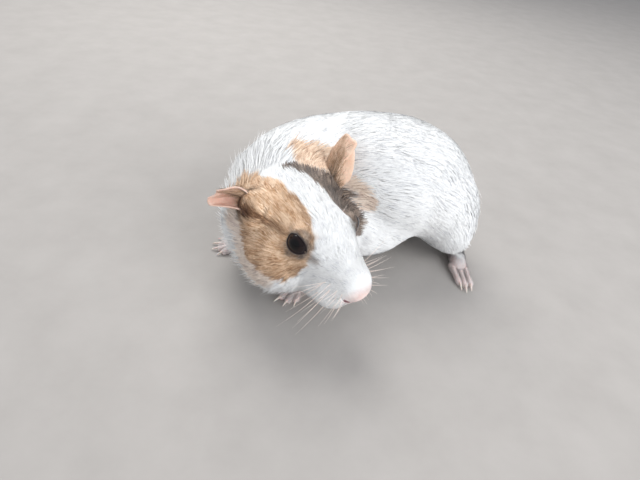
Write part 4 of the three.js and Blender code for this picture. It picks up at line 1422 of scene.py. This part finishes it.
SKIN = build_skin()
COAT_LOOK = coat_material()
LOCK_CHANCE = np.random.default_rng(5)
COAT_PIECES = {
    "short": ["coat_muzzle", "coat_face", "coat_crown", "coat_cheeks_and_feet"],
    "long": ["coat_nape", "coat_shoulders", "coat_middle", "coat_loin", "coat_rump"],
}
for KIND, NAMES in COAT_PIECES.items():
    build_coat(SKIN, KIND, NAMES, COAT_LOOK, LOCK_CHANCE)
EYE_LOOK, LID_LOOK = eye_material(), lid_material()
for SIDE in EYES:
    build_eye(SIDE)
    build_lids(SIDE)
    build_ear(SIDE)
    build_ear_hair(SIDE, COAT_LOOK)
build_claws()
build_whiskers()


# ---------------------------------------------------------------- floor, light and camera
LIT = (0, 0, 0.03)
# Place, size and watts of each lamp and its colour.
LIGHTS = {
    "window": ((-0.25, 0.55, 0.75), 0.7, 7.6, (1.0, 0.99, 0.97)),
    "fill": ((0.66, -0.52, 0.46), 0.8, 8.6, (0.97, 0.98, 1.0)),
    "side": ((-0.7, -0.35, 0.45), 0.6, 0.8, (1.0, 1.0, 1.0)),
}


def add_light(name, place, size, watts, colour):
    """A round lamp turned to the animal. Only the window is mirrored in the eyes."""
    data = bpy.data.lights.new(name, "AREA")
    data.shape, data.size, data.energy, data.color = "DISK", size, watts, colour
    lamp = added(name, data)
    lamp.location = place
    lamp.rotation_mode = "QUATERNION"
    lamp.rotation_quaternion = (Vector(LIT) - Vector(place)).to_track_quat("-Z", "Y")
    lamp.visible_glossy = name == "window"


def build_floor():
    reach, cuts = 3.0, 12
    ticks = np.linspace(-reach, reach, cuts + 1)
    mesh = bpy.data.meshes.new("floor")
    points = [(x, y, 0) for y in ticks for x in ticks]
    mesh.from_pydata(points, [], grid_faces(cuts + 1, cuts + 1, ring=False))
    mesh.materials.append(floor_material())
    floor = added("floor", mesh)


build_floor()
for NAME, LAMP in LIGHTS.items():
    add_light(NAME, *LAMP)
world = bpy.data.worlds.new("studio")
world.use_nodes = True
sky = world.node_tree.nodes["Background"].inputs
sky["Color"].default_value, sky["Strength"].default_value = (0.9, 0.93, 1.0, 1), 0.54
bpy.context.scene.world = world
bpy.context.scene.view_settings.view_transform = "Standard"

LENS_HEIGHT, FOCAL_LENGTH, SENSOR = 0.150, 24.75, 36.0
TILT, ROLL = 38.8, -7.32  # below the horizon, and about the lens, in degrees
camera_data = bpy.data.cameras.new("camera")
camera_data.sensor_width, camera_data.lens = SENSOR, FOCAL_LENGTH
camera_data.clip_start, camera_data.clip_end = 0.01, 20
camera = added("camera", camera_data)
ahead = Vector((0, np.cos(np.radians(TILT)), -np.sin(np.radians(TILT))))
right = Vector((1, 0, 0))
down = ahead.cross(right)
c, s = np.cos(np.radians(ROLL)), np.sin(np.radians(ROLL))
right, down = c * right + s * down, -s * right + c * down
place = placed((0, 0, 0))
camera.matrix_world = Matrix([
    [right[k], -down[k], -ahead[k], (place[0], place[1], LENS_HEIGHT)[k]] for k in range(3)
] + [[0, 0, 0, 1]])
bpy.context.scene.camera = camera
